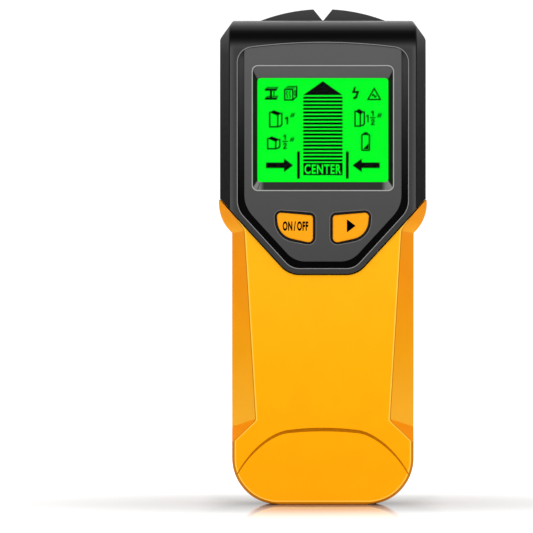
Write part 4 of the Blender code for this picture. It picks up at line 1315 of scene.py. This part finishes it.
CAD_FINISH = {
    "circuit_board": ("main_board", "sensor_board"),
    "chip": ("controller_chip", "amplifier_chip", "board_link", "buzzer", "power_switch_body",
             "mode_switch_body"),
    "copper": ("electrode_left", "electrode_centre", "electrode_right", "search_coil"),
    "nickel": ("battery_terminal_positive", "battery_terminal_negative", "snap_contact_positive",
               "snap_contact_negative", "supply_capacitor"),
    "steel": ("board_screw_upper_left", "board_screw_upper_right", "board_screw_lower_left",
              "board_screw_lower_right"),
    "rubber": ("power_key_pad", "mode_key_pad", "lcd_contact_strip", "battery_snap"),
    "white": ("lcd_backlight", "lcd_holder", "power_switch_plunger", "mode_switch_plunger"),
    "red": ("battery_wire_red",),
    "black": ("battery_wire_black",),
    "battery": ("battery_case",),
    "foam": ("door_foam",),
}


def dress_cad_nodes(finishes):
    """Give the carried-over nodes their materials; their meshes stay as packed."""
    for finish_name, nodes in CAD_FINISH.items():
        for node in nodes:
            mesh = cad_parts[node].data
            mesh.materials.clear()
            mesh.materials.append(finishes[finish_name])


# ---------------------------------------------------------------- stage, light and camera

FLOOR_HALF = 6.0                           # metres from the tool to the floor's edges
CONTACT_REACH = 0.09                       # metres of floor that the tool darkens
REFLECTION_REACH = 0.27                    # metres at which the tool's reflection has faded out


def floor_paper():
    """White paper: a painted contact shadow near the tool and, seen at a low angle, a fading reflection."""
    shader = Shader("studio_paper")
    fibre = shader.mottle(40.0, 0.985, 1.0)
    seen = shader.out("LightPath", "Is Camera Ray")
    away = shader.out("VectorMath", "Value", {0: shader.where}, operation="LENGTH")
    # painted shadow: ambient occlusion darkens the floor's colour and glow near the tool, for camera rays
    # only, fading out beside the tool from 14 to 42 mm
    open_above = shader.out("AmbientOcclusion", "AO", {"Distance": CONTACT_REACH}, samples=16)
    beside = shader.between(shader.absolute(shader.axis("X")), 14.0, 42.0)
    lifted = shader.math("MAXIMUM", beside, shader.math("SUBTRACT", 1.0, seen))
    contact = shader.math("MAXIMUM", shader.math("POWER", open_above, 2.3), lifted)
    whiteness = shader.between(away, 0.02, 0.05, 0.24, 0.52)
    shader.set(Base_Color=shader.grey(shader.math("MULTIPLY", fibre, contact)), Roughness=0.9,
               Specular_IOR_Level=0.0, Emission_Color=linear(255),
               Emission_Strength=shader.all_of(contact, seen, whiteness))
    mirror = shader.out("BsdfGlossy", 0, {"Roughness": shader.between(fibre, 0.985, 1.0, 0.02, 0.05)})
    grazing = shader.between(shader.out("LayerWeight", "Facing", {"Blend": 0.5}), 0.85, 0.95)
    share = shader.all_of(shader.between(away, REFLECTION_REACH, 0.0, 0.0, 0.8), grazing)
    shader.show(shader.out("MixShader", 0, {0: share, 1: shader.principled.outputs[0], 2: mirror}))
    return shader.material


def make_stage():
    """A large flat floor, left out of the tool's own pieces."""
    reach = FLOOR_HALF
    corners = ((-reach, -reach), (reach, -reach), (reach, reach), (-reach, reach))
    bm = bmesh.new()
    bm.faces.new([bm.verts.new((x, y, 0)) for x, y in corners])
    mesh = bpy.data.meshes.new("studio_floor")
    bm.to_mesh(mesh)
    bm.free()
    mesh.materials.append(floor_paper())
    floor = bpy.data.objects.new("studio_floor", mesh)
    bpy.context.scene.collection.objects.link(floor)


def make_world():
    """White surroundings: the camera sees them pure white, the tool is lit by them less strongly."""
    world = bpy.data.worlds.new("studio")
    bpy.context.scene.world = world
    world.use_nodes = True
    tree = world.node_tree
    seen = tree.nodes.new("ShaderNodeLightPath").outputs["Is Camera Ray"]
    strength = tree.nodes.new("ShaderNodeMapRange")
    strength.inputs["To Min"].default_value = 0.69
    strength.inputs["To Max"].default_value = 1.1
    tree.links.new(seen, strength.inputs["Value"])
    tree.links.new(strength.outputs["Result"], tree.nodes["Background"].inputs["Strength"])
    tree.nodes["Background"].inputs["Color"].default_value = (1, 1, 1, 1)


def make_lights():
    """Two equal softboxes in front, one above and one behind."""
    centre = Vector((0, 0, 0.08))
    softboxes = (("left", (-0.6, -1.0, 0.75), 0.8, 3.1), ("right", (0.6, -1.0, 0.75), 0.8, 3.1),
                 ("top", (0.0, 0.15, 1.1), 0.6, 2.2), ("rear", (0.2, 1.0, 0.8), 0.6, 3.0))
    for name, place, size, power in softboxes:
        light = bpy.data.lights.new(name, "AREA")
        light.size = size
        light.energy = power
        lamp = bpy.data.objects.new(name, light)
        lamp.location = place
        lamp.rotation_euler = (centre - Vector(place)).to_track_quat("-Z", "Y").to_euler()
        bpy.context.scene.collection.objects.link(lamp)


def make_camera():
    """Long lens, level with the middle of the tool, which stands right of the frame's middle."""
    span = 0.1728                           # width of the view at the tool
    offset = 0.01828                        # the tool stands this far right of the middle
    middle = 0.07686                        # height at the middle of the view
    distance = 5.0
    tilt = math.radians(1.0)
    camera = bpy.data.cameras.new("camera")
    camera.sensor_width = 36
    camera.lens = 36 * distance / span
    camera.shift_x = -offset / span
    camera.clip_start = 0.05
    camera.clip_end = 20
    seen = bpy.data.objects.new("camera", camera)
    seen.location = (0, -distance * math.cos(tilt), middle + distance * math.sin(tilt))
    seen.rotation_euler = (math.pi / 2 - tilt, 0, 0)
    bpy.context.scene.collection.objects.link(seen)
    bpy.context.scene.camera = seen


def set_view():
    """Show colours as they are, so that whites stay white."""
    view = bpy.context.scene.view_settings
    view.view_transform = "Standard"
    view.look = "None"


# ---------------------------------------------------------------- build

yellow = yellow_plastic()
black = black_plastic()
make_head_bezel(black)
make_head_back(black)
make_handle_front(yellow)
make_handle_back(yellow)
make_panel(panel_plastic())
# painted highlights: pale beads, in three brightnesses, round the bezel's opening, the display's frame and
# the key holes
make_edge_beads(plain_plastic("pale_edge_highlight", 164, 0.35), plain_plastic("middle_edge_highlight", 132, 0.35),
                plain_plastic("dim_edge_highlight", 112, 0.35))
green = glow("lcd_green", (0, 255, 34))
segment_black = ink("segment_black", 3)
make_display(green, clear_acrylic())
make_segments(segment_black, green)
key_plastic = plain_plastic("key_plastic", (251, 162, 20), 0.4, edge=0.15, gloss=0.05)
make_key("power", -1, key_plastic)
make_key("mode", 1, key_plastic)
make_legends(segment_black)
make_door(yellow)
felt = felt_fabric()
make_felt_pad("left", felt)
make_felt_pad("right", felt)
steel = metal("zinc_steel", (150, 152, 158), 0.35, 1)
for screw_node in ("head_screw_left", "head_screw_right", "handle_screw_left", "handle_screw_right"):
    make_screw(screw_node, steel)
dress_cad_nodes({
    "circuit_board": circuit_board(),
    "chip": plain_plastic("chip_epoxy", (30, 30, 32), 0.5),
    "copper": metal("copper", (204, 124, 84), 0.35, 0),
    "nickel": metal("nickel", (196, 196, 200), 0.28),
    "steel": steel,
    "rubber": rubber(),
    "white": plain_plastic("white_plastic", (226, 228, 226), 0.5),
    "red": plain_plastic("red_pvc", (188, 22, 18), 0.4),
    "black": plain_plastic("black_pvc", (24, 24, 24), 0.4),
    "battery": battery_wrap(),
    "foam": foam_material(),
})
make_stage()
make_world()
make_lights()
make_camera()
set_view()
